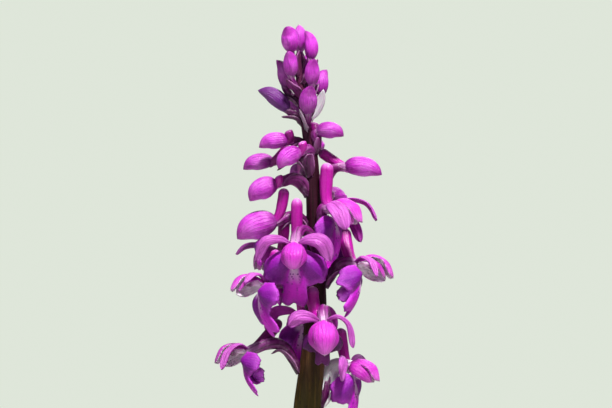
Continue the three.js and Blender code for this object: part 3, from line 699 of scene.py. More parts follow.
def stem_look():
    """Green with streaks below, darker and purple up in the spike. tone is the height's share."""
    n = Nodes("stem")
    shaken = n.noise(420, 4, 0.6, n.stretched(1, 1, 0.12))
    tone = n.range(n.math("MULTIPLY_ADD", shaken, 0.016, n.height()), 0.09, 0.33)
    n.base = n.ramp(tone, (0, "#b9b98a"), (0.06, "#6f7a2c"), (0.4, "#5e6418"), (0.66, "#4a450a"),
                    (0.735, "#36200c"), (0.79, "#200208"), (0.9, "#2a0416"), (1, "#5c2048"))
    streaks = n.noise(1500, 4, 0.65, n.stretched(1, 1, 0.035))
    n.over(n.times(n.range(streaks, 0.5, 0.72, 0, 0.5), n.range(tone, 0.8, 0.7)), "#7a5a26")
    n.stain(streaks, 0.5, 0.3, 0.55, "#1c0a0a")
    specks = n.cells(1500, n.stretched(1, 1, 0.35))
    n.tint(n.times(n.range(specks, 0.12, 0.3, 1, 0), n.range(tone, 0.3, 0.7)), 0.6, "#2a0812")
    # Reddish purple streaks up in the spike, lighter than the dark skin there: partly streaks,
    # partly painted highlight
    n.tint(n.times(n.range(streaks, 0.45, 0.65), n.range(tone, 0.72, 0.8)), 0.55, "#4c0a30")
    normal = n.bump(0.00028, 0.6, (1, streaks), (0.3, n.cells(3500)))
    return n.finish(n.range(shaken, 0.3, 0.7, 0.4, 0.55), normal, shine=0.22)


def tuber_look():
    n = Nodes("tuber")
    skin = n.noise(160, 4, 0.6)
    n.base = n.ramp(skin, (0.3, "#b59a6a"), (0.55, "#cdb78a"), (0.75, "#8d7047"))
    return n.finish(0.75, n.bump(0.0006, 0.6, (1, skin), (0.4, n.noise(900))), soft=0.1)


def leaf_look():
    n = Nodes("leaf")
    along, across, inside = n.attribute("place")
    flat = n.flat()
    n.base = n.ramp(along, (0, "#9fb46a"), (0.1, "#5d8a34"), (0.5, "#427a24"), (0.9, "#4d8226"),
                    (1, "#8a8a3c"))
    drift = n.noise(0.05, 4, 0.6, flat)
    n.stain(drift, 0.4, 0.7, 0.5, "#2f6420")
    n.tint(n.math("SUBTRACT", 1, inside), 0.55, "#8aa868")
    ribs = veined(n, 7, 0.02)
    n.tint(ribs, 0.32, "#86a850")
    cross = n.noise(0.9, 3, 0.6, n.stretched(2.4, 0.35, 1, flat))
    n.stain(cross, 0.5, 0.7, 0.2, "#2c5a1c")
    blots = n.cells(1, n.stretched(0.085, 0.3, 1, flat))
    ragged = n.math("MULTIPLY_ADD", n.noise(0.8, at=flat), 0.22, blots)
    spots = n.times(n.falling(ragged, 0.36, 0.42), n.rising(drift, 0.36, 0.5))
    n.over(n.times(spots, n.range(inside, 0, 1, 0.25, 0.92)), "#2d1626")
    n.tint(n.falling(n.math("ABSOLUTE", across), 0, 0.05), 0.5, "#a4bc70")
    grain = n.noise(1500, 3, 0.6)
    normal = n.bump(0.0003, 0.5, (1, ribs), (0.5, cross), (0.35, grain))
    rough = n.range(grain, 0.3, 0.7, 0.24, 0.42)
    return n.finish(rough, normal, soft=0.1, scatter=GREEN_SCATTER, coat=0.2)


def clay_look():
    """Clay with pale salt at the rim and foot, damp low down and a little green below the rim."""
    n = Nodes("clay")
    z = n.height()
    broad = n.noise(16, 5, 0.6)
    n.base = n.ramp(broad, (0.3, "#a0522e"), (0.5, "#b8663c"), (0.7, "#c87a50"))
    fine = n.noise(520, 5, 0.7)
    n.stain(fine, 0.35, 0.7, 0.35, "#8c4526")
    sand = n.cells(900)
    n.over(n.range(sand, 0.02, 0.16, 0.45, 0), "#e0a47c")
    cloud = n.noise(34, 6, 0.65, n.stretched(1, 1, 0.5))
    ends = n.math("MAXIMUM", n.rising(z, 0.084, 0.104), n.falling(z, 0.004, 0.03))
    n.tint(n.times(n.range(cloud, 0.5, 0.68), ends), 0.55, "#dcc8b4")
    n.over(n.times(n.range(cloud, 0.56, 0.4), n.range(z, 0, 0.045, 0.6, 0)), "#6c3a22")
    n.over(n.times(n.range(cloud, 0.55, 0.75), n.range(z, 0.1, 0.06, 0, 0.35)), "#6d6a34")
    turned = n.noise(420, 4, 0.6, n.stretched(0.05, 0.05, 1))
    normal = n.bump(0.0007, 0.5, (0.6, fine), (0.5, turned), (0.3, sand), (0.5, broad))
    return n.finish(n.range(fine, 0.3, 0.7, 0.8, 0.95), normal, shine=0.3)


def soil_look():
    n = Nodes("soil")
    crumb = n.noise(260, 6, 0.7)
    n.base = n.ramp(crumb, (0.3, "#170e09"), (0.5, "#2e1e14"), (0.62, "#3d2a1b"), (0.8, "#5a422c"))
    fibre = n.noise(900, 4, 0.6, n.stretched(1, 0.2, 1))
    n.stain(fibre, 0.56, 0.7, 0.6, "#6b4a2c")
    n.stain(n.noise(30), 0.4, 0.65, 0.5, "#120b07")
    return n.finish(0.92, n.bump(0.0012, 0.9, (1, crumb), (0.6, fibre)), shine=0.25)


def grit_look():
    n = Nodes("grit")
    n.base = n.ramp(n.attribute("mood")[0], (0, "#1c120b"), (0.45, "#4a3422"), (0.7, "#7a6248"),
                    (0.86, "#a59a88"), (1, "#e6e2d8"))
    grain = n.noise(1600, 4, 0.6)
    n.stain(grain, 0.35, 0.7, 0.5, "#2a1c12")
    return n.finish(0.85, n.bump(0.0003, 0.7, (1, grain)), shine=0.3)


def moss_look():
    n = Nodes("moss")
    n.base = n.ramp(n.attribute("place")[0], (0, "#3a4a16"), (0.6, "#6f8a2a"), (1, "#a8b84c"))
    grain = n.noise(1900, 3, 0.6)
    n.stain(grain, 0.35, 0.7, 0.5, "#4c6420")
    return n.finish(0.7, n.bump(0.0002, 0.6, (1, grain)), soft=0.15, scatter=GREEN_SCATTER)


# Colours of the foot, body, tip, edge, inner face and veins of each kind of petal. The near-white
# inner faces are partly the petals' own pale colour and partly painted light.
SEPAL = ("#9c0c90", "#d434cc", "#e878e2", "#d868d8", "#fdf6ff", "#9a0c92")
WINGS = ("#900c84", "#bc2cb4", "#d058cc", "#a030ac", "#d476d6", "#7c1080")
PETAL = ("#9c0c90", "#c42cbc", "#e070d8", "#d050d0", "#fdf6ff", "#86107e")
LOOKS = dict(
    sepal=lambda: petal_look("sepal", *SEPAL, veins=4),
    wing=lambda: petal_look("wing", *WINGS, most_inside=0.55, inner_side=1),
    petal=lambda: petal_look("petal", *PETAL),
    withered_lip=lambda: lip_look("withered_lip", 0.82),
    bud=bud_look, spur=spur_look, ovary=ovary_look, bract=bract_look, lip=lip_look,
    column=column_look, stem=stem_look, tuber=tuber_look, leaf=leaf_look, clay=clay_look,
    soil=soil_look, grit=grit_look, moss=moss_look,
)
made_looks = {}


def material(look):
    if look not in made_looks:
        made_looks[look] = LOOKS[look]()
    return made_looks[look]


# Pot and soil

def pot_inside(height):
    return lerp(POT.foot_radius, POT.top_radius, height / POT.height) - POT.wall


def rounded(profile, radius, steps=5):
    """The profile with each of its corners rounded, save its two ends."""
    points = [np.array(p, float) for p in profile]
    out = [points[0]]
    for a, b, c in zip(points, points[1:], points[2:]):
        back, on = a - b, c - b
        cut = min(radius, 0.45 * np.linalg.norm(back), 0.45 * np.linalg.norm(on))
        start, end = b + unit(back) * cut, b + unit(on) * cut
        for u in np.linspace(0, 1, steps):
            out.append((1 - u)**2 * start + 2 * u * (1 - u) * b + u**2 * end)
    return np.array(out + [points[-1]])


def subdivided(profile, longest):
    """The profile with no step longer than that."""
    out = [profile[0]]
    for a, b in zip(profile, profile[1:]):
        steps = max(1, math.ceil(np.linalg.norm(b - a) / longest))
        out += [lerp(a, b, k / steps) for k in range(1, steps + 1)]
    return np.array(out)


def make_pot():
    rim_foot, top, floor = POT.height - POT.rim_height, POT.height, POT.floor
    neck = pot_inside(rim_foot) + POT.wall
    corners = [
        (POT.foot_radius, 0), (neck, rim_foot), (neck + POT.rim_proud, rim_foot + 0.8),
        (POT.top_radius + POT.rim_proud, top), (pot_inside(top), top),
        (pot_inside(floor), floor),
    ]
    profile = subdivided(rounded(corners, POT.corner), POT.longest)
    angle, points = ring(POT.sides), []
    for r, z in profile:
        round_it = 0.05 * r * np.cos(angle), 0.05 * r * np.sin(angle)
        worn = np.array([noise.noise(Vector((x, y, 0.05 * z))) for x, y in zip(*round_it)])
        inner = r < pot_inside(z) + 0.5 * POT.wall
        radius = r - POT.wear * (1 + worn) * (0 if z < 0.5 else 1) * (-1 if inner else 1)
        points.append(circle(radius, angle, z))
    shape = Shape()
    faces = grid(len(profile) - 1, POT.sides, closed=True, flip=True)
    shape.add_plain(np.vstack(points), faces, "clay")
    add_floor(shape, profile[0], 0.0, down=True)
    add_floor(shape, profile[-1], floor, down=False)
    for k in range(POT.holes):
        rings = np.vstack([hole_ring(0, k), hole_ring(floor, k)])
        shape.add_plain(rings, grid(1, POT.hole_sides, closed=True), "clay")
    return shape.piece("pot_clay", "pot", "clay")


def hole_ring(height, number):
    """One edge of a drainage hole."""
    x, y, _ = POT.hole_circle * toward(360 * (number + 0.5) / POT.holes)
    return circle(POT.hole_radius, ring(POT.hole_sides), height, x, y)


def add_floor(shape, corner, height, down):
    """One face of the pot's floor, out to the corner, with its drainage holes left open."""
    work = bmesh.new()
    outer = circle(corner[0], ring(POT.sides), height)
    edges = []
    for loop in [outer] + [hole_ring(height, k) for k in range(POT.holes)]:
        verts = [work.verts.new(tuple(p)) for p in loop]
        edges += [work.edges.new(pair) for pair in zip(verts, verts[1:] + verts[:1])]
    bmesh.ops.triangle_fill(work, use_beauty=True, edges=edges)
    points, faces = taken(work)
    shape.add_plain(points, [face[::-1] for face in faces] if down else faces, "clay")


def soil_height(x, y):
    """The soil's surface: a low mound with lumps and crumbs, sunk round the plant's crown."""
    reach = np.hypot(x, y)
    share = reach / pot_inside(SOIL.top)
    lumps = np.sin(0.33 * x + 1) * np.cos(0.29 * y) + 0.6 * np.sin(0.21 * (x + y) + 2)
    height = SOIL.top + SOIL.mound * (1 - share**2)
    height += SOIL.lump * lumps * np.minimum(1, 1.6 * share)
    crumbs = np.array([noise.fractal(Vector((0.42 * a, 0.42 * b, 3.0)), 1.0, 2.0, 4)
                       for a, b in zip(np.ravel(x), np.ravel(y))]).reshape(np.shape(x))
    return height + SOIL.crumb * crumbs - SOIL.dip * (1 - smoothstep(5.2, 9.5, reach))


def ground(x, y):
    return float(soil_height(np.array([x]), np.array([y]))[0])


def make_soil():
    sides, rings = 150, 56
    wall, foot = (pot_inside(height) - 2 * GAP for height in (SOIL.top, POT.floor))
    angle, bottom = ring(sides), POT.floor + GAP
    radii = wall * np.linspace(0.03, 1, rings) ** 0.85
    x, y = np.outer(radii, np.cos(angle)), np.outer(radii, np.sin(angle))
    top = np.stack([x, y, soil_height(x, y)], -1)
    middles = np.array([[0, 0, top[0, :, 2].mean()], [0, 0, bottom]])
    shape = Shape()
    points = np.vstack([top.reshape(-1, 3), circle(foot, angle, bottom), middles])
    shape.add_plain(points, capped(rings, sides), "soil")
    add_grit(shape)
    add_moss(shape)
    return shape.piece("soil_crumbs", "soil", "soil")


def spot_on_soil(inner, outer):
    reach = math.sqrt(rng.uniform((inner / outer) ** 2, 1)) * outer
    bearing = rng.uniform(0, 2 * np.pi)
    return reach * math.cos(bearing), reach * math.sin(bearing)


GRIT_TONES = [0.15, 0.35, 0.5, 0.66, 0.82, 0.98]
GRIT_SHARES = [0.3, 0.27, 0.2, 0.12, 0.08, 0.03]


def add_grit(shape):
    """Crumbs, grit and bits of bark that lie half sunk in the soil."""
    work = bmesh.new()
    bmesh.ops.create_icosphere(work, subdivisions=1, radius=1)
    round_points, faces = taken(work)
    outer = pot_inside(SOIL.top) - 2.5
    for _ in range(SOIL.grit):
        x, y = spot_on_soil(11, outer)
        size = 0.45 + 1.0 * rng.random() ** 3
        stretch = np.array([1, rng.uniform(0.5, 1), rng.uniform(0.35, 0.8)])
        if rng.random() < 0.12:
            stretch = np.array([2.2, 0.5, 0.35])
        turn = np.array(Matrix.Rotation(rng.uniform(0, 6.28), 3, "Z")
                        @ Matrix.Rotation(rng.uniform(-0.5, 0.5), 3, "X"))
        points = round_points * (1 + rng.uniform(-0.22, 0.22, (len(round_points), 1)))
        points = (points * stretch * size) @ turn.T + [x, y, ground(x, y) + 0.15 * size]
        shape.add_plain(points, faces, "grit", (rng.choice(GRIT_TONES, p=GRIT_SHARES), 0, 0))


def add_moss(shape):
    """Small cushions of moss shoots near the pot's wall."""
    for _ in range(SOIL.moss):
        bearing, reach = rng.uniform(0, 2 * np.pi), rng.uniform(33, 46)
        middle = np.array([reach * math.cos(bearing), reach * math.sin(bearing)])
        wide = rng.uniform(2.5, 6)
        for _ in range(int(14 * wide)):
            off = rng.normal(0, 0.45 * wide, 2)
            x, y = middle + off
            if math.hypot(x, y) > pot_inside(SOIL.top) - 2:
                continue
            tall = rng.uniform(0.7, 1.9) * math.exp(-float(off @ off) / (2.2 * wide**2))
            height = ground(x, y)
            lean = rng.uniform(-0.5, 0.5, 2) * tall
            foot = np.array([x, y, height - 0.2])
            tip = np.array([x + lean[0], y + lean[1], height + tall])
            path = Path.through([foot, lerp(foot, tip, 0.5) + [0, 0, 0.1], tip], 8)
            tube(shape, "moss", path, lambda s, a: 0.3 * (1.05 - s) * (1 + 0.35 * np.cos(3 * a)),
                 6, 4)


# Stem with its tubers

def stem_at(height):
    """The stem's axis point and radius at a height."""
    table = np.array(STEM_AXIS)
    values = [np.interp(height, table[:, 2], table[:, k]) for k in (0, 1, 3)]
    return np.array([values[0], values[1], height], float), float(values[2])


def make_stem():
    table = np.array(STEM_AXIS)
    rows, sides = 300, 40
    z = np.linspace(table[0, 2], table[-1, 2], rows + 1)
    around = np.linspace(-4, 4, 9)
    weights = np.exp(-(around / 3.0) ** 2)
    values = []
    for k in (0, 1, 3):
        raw = np.stack([np.interp(z + step, table[:, 2], table[:, k]) for step in around])
        values.append((weights[:, None] * raw).sum(0) / weights.sum())
    x, y, radius = values
    angle, twist = ring(sides), 0.012 * z[:, None]
    ribs = 1 + 0.028 * np.cos(5 * (angle + twist)) + 0.016 * np.cos(11 * (angle - 0.6 * twist))
    reach = radius[:, None] * (ribs - 0.03)
    points = circle(reach, angle, z[:, None], x[:, None], y[:, None]).reshape(-1, 3)
    ends = [[x[k], y[k], z[k]] for k in (0, -1)]
    shape = Shape()
    shape.add_plain(np.vstack([points, ends]), capped(rows, sides), "stem")
    add_tubers(shape)
    return shape.piece("stem_skin", "stem", "stem")


def add_tubers(shape):
    """Two tubers side by side below the stem's foot."""
    for side in (-1, 1):
        path = Path.through([(0, 0, -TUBER.length / 2), (0.4, 0, 0), (0, 0, TUBER.length / 2)])
        part = Shape()

        def radius(s, a):
            swell = np.sqrt(np.clip(1 - (2 * s - 1) ** 2, 0.0004, 1))
            return 0.97 * TUBER.radius * swell * (1 - 0.03 * (1 + np.cos(5 * a + 9 * s)))

        tube(part, "tuber", path, radius, 32, 28, crowded=1)
        part.move(Matrix.Translation((side * TUBER.apart / 2, side * 2, TUBER.middle))
                  @ Matrix.Rotation(rad(side * -12), 4, "Y"))
        shape.take(part)


# Leaves

def leaf_relief(half):
    """Fine ribs, a fold at the midrib and waves towards the edge."""
    def relief(s, t):
        fade = (1 - t**2) * np.sin(np.pi * np.clip(s, 0.02, 0.98)) ** 0.4
        ribs = 0.07 * np.cos(2 * np.pi * 3.5 * t)
        fold = -0.45 * bump_at(t, 0, 0.07)
        wave = 0.35 * np.sin(2 * np.pi * 2.3 * s + half) * t**3
        return (ribs + fold) * fade + wave * np.sin(np.pi * s)
    return relief


def make_rosette_leaf(number, bearing, length, half, rise, droop):
    turn = np.array(Matrix.Rotation(rad(bearing), 3, "Z"))
    base = SOIL.top + SOIL.mound
    root = LEAF.root
    spine = [
        (root, 0, base - NECK_SUNK), (root + 0.07 * length, 0, base + 0.5 * rise),
        (root + 0.3 * length, 0, base + 0.95 * rise), (root + 0.6 * length, 0, base + 1.05 * rise),
        (root + 0.9 * length, 0, base + 1.05 * rise - droop),
    ]
    path = Path.through(np.array(spine) @ turn.T)
    inward = turn @ np.array([-0.35, 0, 1])
    shape = Shape()
    blade(shape, "leaf", path, fixed(*inward), lambda s: outline(s, half, 0.58, 1.5, 2.6),
          lambda s: rad(lerp(LEAF.cup_at_root, LEAF.cup_at_tip, np.minimum(1, 2 * s))),
          LEAF.thickness, 90, 28, leaf_relief(half))
    return shape.piece(f"rosette_leaf_{number}_blade", f"rosette_leaf_{number}", "leaf")


def make_sheath(number, bearing, foot, wrapped, length, half, lean):
    """A stem leaf, wrapped round the stem at its foot and open above."""
    outward = toward(bearing)
    clear = LEAF.solid_thickness / 2 + 2 * GAP
    share = wrapped / length
    spine = []
    for s in np.linspace(0, 1, 8):
        point, radius = stem_at(foot + s * length)
        away = max(0, (s - 0.7 * share) / (1 - 0.7 * share))
        spine.append(point + outward * (radius + clear + lean * away**2))
    wrap, closed = STEM_CROWN + clear, rad(150)
    shape = Shape()

    def opening(s):
        return smoothstep(0.75 * share, share + 0.2, s)

    blade(shape, "leaf", Path.through(spine), fixed(*-outward),
          lambda s: lerp(wrap * closed, outline(s, half, 0.5, 1.8), opening(s)),
          lambda s: lerp(closed, rad(22), opening(s)), LEAF.thickness, 90, 36,
          lambda s, t: 0.05 * np.cos(2 * np.pi * 4.5 * t) * (1 - t**2))
    return shape.piece(f"stem_leaf_{number}_blade", f"stem_leaf_{number}", "leaf")


# Florets

def placed(f):
    """A floret's frame, and the curve of its ovary from the stem."""
    point, radius = stem_at(f.up)
    outward = toward(f.around)
    base = point + outward * f.reach + [0, 0, f.rise]
    turn = Matrix.Rotation(rad(f.face), 4, "Z") @ Matrix.Rotation(rad(f.nod), 4, "Y")
    turn = turn @ Matrix.Rotation(rad(f.tilt), 4, "X")
    matrix = Matrix.Translation(base) @ turn @ Matrix.Scale(f.size, 4)
    ahead = np.array(turn.to_3x3() @ Vector((1, 0, 0)))
    rooted = toward(f.around + f.foot_turn)
    start = point + rooted * (radius - OVARY.sunk)
    span = np.linalg.norm(base - start)
    rising = rooted * math.cos(rad(OVARY.rise)) + [0, 0, math.sin(rad(OVARY.rise))]
    ovary = Path.bezier(start, start + OVARY.arch * span * rising, base - f.arch * span * ahead,
                        base + 0.5 * ahead)
    return matrix, ovary, outward


def age_of(f):
    """0 for the youngest bud at the top to 1 for a grown floret."""
    span = AGES.youngest - AGES.grown
    return min(1, (AGES.youngest - f.up) / span)


def add_dorsal_sepal(shape, mood):
    path = Path.through([(-0.3, 0, 0.6), (1.8, 0, 3.0), (4.8, 0, 3.4), (7.6, 0, 1.0)])
    blade(shape, "sepal", path, fixed(-0.1, 0, 1), lambda s: outline(s, 2.5, 0.55, 1.1, 1.2),
          even(-55), PETAL_THICKNESS, 26, 18,
          lambda s, t: 0.12 * bump_at(t, 0, 0.14) + 0.05 * np.sin(9 * s + 4 * t), mood)


def add_petal(shape, side, width, mood):
    path = Path.through([(-0.2, side * 0.5, 0.3), (1.8, side * 2.2, 1.3), (4.3, side * 2.2, 1.2),
                         (6.4, side * 0.7, 0)])
    blade(shape, "petal", path, fixed(0, side, 0.45),
          lambda s: outline(s, 1.8 * width, 0.5, 1.2, 0.8), even(-30),
          PETAL_THICKNESS, 18, 12, lambda s, t: 0.06 * np.sin(8 * s + 3 * t + side), mood)


# The ways that a side sepal can lie: spread, lifted, swept forward along the hood, and bent down
ROOT = (-0.4, 0.4, 0.2)
SPREAD = np.array([ROOT, (-0.5, 3.0, 1.8), (0.3, 6.0, 1.9), (2.6, 8.0, -1.8)])
LIFTED = np.array([ROOT, (-0.7, 2.8, 2.0), (-0.9, 5.6, 3.2), (-2.0, 7.6, 4.4)])
SWEPT = np.array([ROOT, (1.2, 3.0, 1.9), (4.4, 4.4, 1.8), (7.6, 4.4, -0.6)])
BENT = np.array([ROOT, (-0.5, 2.6, 1.9), (0.6, 4.5, 1.3), (4.2, 5.6, -1.6)])
RAISED = np.array([0, 1.2, 2.8, 5.0])


def add_side_sepal(shape, side, number, mood, lift=0, sweep=0, droop=0, raised=0, width=0.7,
                   length=1, roll=0):
    """One side sepal. lift, sweep, droop and raised bend it, and roll turns its edges back."""
    spine = lerp(lerp(lerp(SPREAD, LIFTED, lift), SWEPT, sweep), BENT, droop)
    spine[:, 2] += raised * RAISED
    spine = spine[0] + (spine - spine[0]) * length
    spine = spine * np.array([1, side, 1])

    def relief(s, t):
        return 0.16 * np.sin(7 * s + 5 * t + side + number) * s - 0.12 * bump_at(t, 0, 0.12)

    blade(shape, "wing", Path.through(spine),
          fixed(lerp(0.5, -0.3, sweep), side * 0.9 * sweep, 0.9),
          lambda s: outline(s, 2.2 * width, 0.62, 1.6, 0.6),
          lambda s: rad(-30 - 130 * roll) * (1 - 0.5 * s), PETAL_THICKNESS, 30, 16, relief, mood)


def add_spur(shape, f, mood):
    """The spur. behind sets it that far back, level, so that the ovary passes in front of it."""
    way = np.array([math.cos(rad(f.back)), 0, math.sin(rad(f.back))]) * f.tail
    back = np.array([-math.cos(rad(f.nod)), 0, -math.sin(rad(f.nod))]) * f.behind
    thick = SPUR.radius * lerp(0.7, 1, min(1, f.tail / SPUR.length))
    path = Path.through([
        np.array([0.4, 0, -0.5]), np.array([-0.9, 0.6 * f.aside, 0]) + way * 0.2 + back,
        np.array([-0.9, f.aside, 0.2]) + way * 0.6 + back,
        np.array([-0.5, f.aside, 0.4]) + way + back,
    ])

    def radius(s, a):
        swell = np.minimum(1.04, 0.75 + 0.5 * s)
        tip = np.sqrt(np.clip(1 - (np.maximum(0, s - 0.86) / 0.14) ** 2, 0.002, 1))
        return thick * swell * tip * (1 - 0.05 * bump_at(np.abs(a - np.pi), 0, 0.5))

    tube(shape, "spur", path, radius, 20, 30, 0.6, mood)


def add_column(shape):
    """The pale column inside the hood, with its dark anther at the tip."""
    path = Path.through([(0.2, 0, 0.3), (1.5, 0, 1.1), (2.9, 0, 1.5), (3.7, 0, 1.1)])
    tube(shape, "column", path,
         lambda s, a: (0.75 + 0.35 * bump_at(s, 0.75, 0.2)) * np.sqrt(np.clip(1.02 - s**6, 0.02, 1))
         * (1 - 0.12 * np.cos(2 * a)), 14, 14, 0.5)


def add_bud(shape, length, half, mood):
    """A closed bud of three sepals, each edge lapping over the next."""
    path = Path.through([(-0.9, 0, 0), (0.25 * length, 0, 0.5), (0.65 * length, 0, 0.5),
                         (length, 0, -0.08 * length)])
    widest, sepals = 0.4, 3

    def radius(s, a):
        foot = math.sqrt(max(0, 1 - ((widest - s) / widest) ** 2)) if s < widest else 1
        point = max(0, 1 - max(0, (s - widest) / (1 - widest)) ** 2.2) ** 0.8 if s > widest else 1
        lap = ((a + 0.5 + 0.9 * s) * sepals / (2 * np.pi)) % 1
        step = 0.13 * smoothstep(0, 0.06, lap) * (1 - lap) ** 1.5
        keel = 0.05 * bump_at(lap, 0.5, 0.1)
        body = max(0.05, foot * point)
        return half * body * (0.96 + step * math.sin(math.pi * s) + keel * s)

    tube(shape, "bud", path, radius, 72, 34, 1, mood)


def add_bract(shape, f, ovary, outward, mood):
    side, reach = np.cross([0, 0, 1], outward), f.bract_reach
    half = f.bract_half or lerp(AGES.young_bract, AGES.grown_bract, age_of(f))

    def away(s):
        along = ovary.along(s * reach)
        out = unit(np.cross(side, along))
        turned = rad(f.bract_turn)
        return out * math.cos(turned) + np.cross(along, out) * math.sin(turned)

    s = np.array([0, 0.35, 0.7, 1])
    spine = ovary.at(s * reach) + away(s) * (0.45 + half * s**2)[:, None]
    blade(shape, "bract", Path.through(spine), lambda u: -away(u),
          lambda u: outline(u, half, 0.4, 1.5, 1.1), even(45),
          PETAL_THICKNESS, 22, 10, lambda u, t: 0.05 * np.cos(14 * t) * (1 - t**2), mood)


def add_ovary(shape, f, ovary, mood):
    """The ovary: six ribs that turn half round it."""
    girth = OVARY.radius * lerp(AGES.youngest_ovary, 1, age_of(f))

    def radius(s, a):
        swell = girth * (0.8 + 0.8 * s * (1.25 - s))
        return swell * (1 + 0.07 * np.cos(6 * (a + 1.1 * np.pi * s)))

    tube(shape, "ovary", ovary, radius, 36, 30, 0, mood)


def make_floret(number, f):
    """A bud or flower, all but its lip."""
    matrix, ovary, outward = placed(f)
    # tone and blue: partly the floret's own colour, partly painted shade
    mood = (f.tone, 0, f.blue)
    head = Shape()
    if f.kind == "open":
        add_dorsal_sepal(head, mood)
        for side, width in zip((-1, 1), f.petals):
            add_petal(head, side, width, mood)
        for side, wing in zip((-1, 1), f.wings):
            add_side_sepal(head, side, number, mood, **wing)
        add_column(head)
    else:
        add_bud(head, *f.body, mood)
    if f.tail:
        add_spur(head, f, (f.tone * f.spur_tone, 0, 0))
    head.move(matrix)
    add_ovary(head, f, ovary, (f.tone, 0, 0))
    # The bract's pale mood: partly a paler bract, partly painted highlight
    add_bract(head, f, ovary, outward, (f.tone, f.pale, 0))
    node = f"{'bud' if f.kind == 'bud' else 'flower'}_{number:02d}"
    return head.piece(f"{node}_bloom", node, "bloom")


def lip_edge(columns):
    """The lip's outline as angles and reaches, smooth between its few points, and frilled."""
    whole = [(-a, r) for a, r in LIP_EDGE[:0:-1]] + LIP_EDGE
    flat = [(r * math.cos(rad(a)), r * math.sin(rad(a)), 0) for a, r in whole]
    points = Path.through(flat).at(np.linspace(0, 1, columns + 1))
    angle = np.arctan2(points[:, 1], points[:, 0])
    frill = 1 + 0.02 * np.sin(17 * angle) + 0.014 * np.sin(41 * angle + 1)
    return angle, np.linalg.norm(points, axis=1) * frill


def make_lip(number, f):
    matrix, _, _ = placed(f)
    seat = [1.35, 0, -1.25] if f.kind == "open" else [4.6, 0, -2.9]
    rows, columns = 18, 84
    angle, reach = lip_edge(columns)
    share = np.linspace(0, 1, rows + 1)[:, None]
    distance = share * reach * f.lip
    ahead, aside = distance * np.cos(angle), distance * np.sin(angle)
    bend = -rad(f.hang) - LIP.bend * ahead
    turn = aside * (1 - f.spread) / f.roll_radius
    turn = np.where(np.abs(turn) < TINY, TINY, turn)
    across = np.sin(turn) / turn * aside
    back = -(1 - np.cos(turn)) * np.abs(aside / turn)
    ruffle = 0.16 * share**3 * np.sin(9 * angle + number) + 0.08 * share**5 * np.sin(23 * angle)
    ridge = 0.3 * bump_at(angle, 0, 0.22) * np.sin(np.pi * share)
    crease = -0.2 * bump_at(np.abs(angle), rad(24), 0.1) * share
    dome = LIP.dome * f.lip * np.sin(np.pi * share) * bump_at(np.abs(angle), rad(62), 0.5)
    shape = Shape()
    look = "withered_lip" if f.withered else "lip"
    body = np.clip(np.sin(np.pi * share) * 5, 0, 1) * np.sqrt(
        np.clip(1 - (np.abs(angle) / np.abs(angle).max()) ** 12, 0, 1))
    for side in (1, -1):
        normal = back + dome + ruffle + ridge + crease + side * body * PETAL_THICKNESS / 2
        x = seat[0] + ahead * np.cos(bend) - normal * np.sin(bend)
        z = seat[2] + ahead * np.sin(bend) + normal * np.cos(bend)
        points = np.stack([x, across, z], -1)
        place = np.stack([share + 0 * angle, angle / angle.max() + 0 * share,
                          np.full_like(x, max(side, 0))], -1)
        flat = np.stack([ahead, aside, np.full_like(x, number)], -1)
        shape.add(points, place, flat, grid(rows, columns, flip=side < 0), look, (f.tone, 0, 0))
    shape.move(matrix)
    return shape.piece(f"lip_{number:02d}_petal", f"lip_{number:02d}", "lip")


# Stage, light and camera

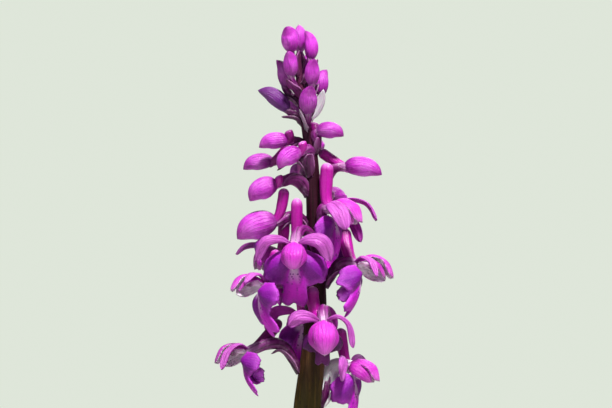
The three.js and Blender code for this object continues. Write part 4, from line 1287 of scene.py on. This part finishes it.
def make_floor():
    mesh = bpy.data.meshes.new("floor")
    work = bmesh.new()
    bmesh.ops.create_circle(work, cap_ends=True, radius=FLOOR.radius, segments=FLOOR.sides)
    work.to_mesh(mesh)
    work.free()
    floor = linked("floor", mesh)
    n = Nodes("floor")
    n.base = n.mix(n.noise(3, 2), "#d9d8d4", "#dddcd8")
    n.finish(0.75)
    # Far from the pot the lamps fade, so there the floor glows as bright as the paper behind it.
    paper = n.node("Emission", {"Color": (*PAPER, 1), "Strength": PAPER_LIGHT}).outputs[0]
    reach = n.node("VectorMath", {0: n.spot}, operation="LENGTH").outputs["Value"]
    seen = n.node("LightPath").outputs["Is Camera Ray"]
    far = n.times(n.rising(reach, FLOOR.near, FLOOR.far), seen)
    either = n.node("MixShader", {0: far, 1: n.shader.outputs[0], 2: paper})
    n.tree.links.new(either.outputs[0], n.tree.nodes["Material Output"].inputs["Surface"])
    mesh.materials.append(n.material)


def make_lamp(name, place, size, power, tint):
    data = bpy.data.lights.new(name, "AREA")
    data.shape, data.size, data.energy = "DISK", size, power
    data.color = tint
    lamp = linked(name, data)
    lamp.location = Vector(place)
    lamp.rotation_euler = (Vector(LAMPS_AIM) - lamp.location).to_track_quat("-Z", "Y").to_euler()


def make_light():
    world = bpy.data.worlds.new("studio")
    world.use_nodes = True
    tree = world.node_tree
    sky, paper = tree.nodes["Background"], tree.nodes.new("ShaderNodeBackground")
    for node, tint, strength in ((sky, SKY, SKY_LIGHT), (paper, PAPER, PAPER_LIGHT)):
        node.inputs[0].default_value = (*tint, 1)
        node.inputs[1].default_value = strength
    seen = tree.nodes.new("ShaderNodeLightPath").outputs["Is Camera Ray"]
    either = tree.nodes.new("ShaderNodeMixShader")
    for socket, value in zip(either.inputs, (seen, sky.outputs[0], paper.outputs[0])):
        tree.links.new(value, socket)
    tree.links.new(either.outputs[0], tree.nodes["World Output"].inputs["Surface"])
    bpy.context.scene.world = world
    for lamp in LAMPS:
        make_lamp(*lamp)


def make_camera():
    data = bpy.data.cameras.new("camera")
    data.sensor_width = 36
    data.lens = data.sensor_width * CAMERA_DISTANCE / (PICTURE[0] * PIXEL)
    data.clip_start = 0.01
    camera = linked("camera", data)
    centre = Vector(VIEW_CENTRE) * MM
    camera.location = centre - Vector((0, CAMERA_DISTANCE * MM, 0))
    camera.rotation_euler = (math.pi / 2, 0, 0)
    bpy.context.scene.camera = camera


make_camera()
make_pot()
make_soil()
make_stem()
for k, leaf in enumerate(ROSETTE):
    make_rosette_leaf(k + 1, *leaf)
for k, leaf in enumerate(SHEATHS):
    make_sheath(k + 1, *leaf)
for k, row in enumerate(FLORETS):
    make_floret(k + 1, row)
    if row.kind != "bud":
        make_lip(k + 1, row)
make_floor()
make_light()
bpy.context.scene.view_settings.view_transform = "Standard"
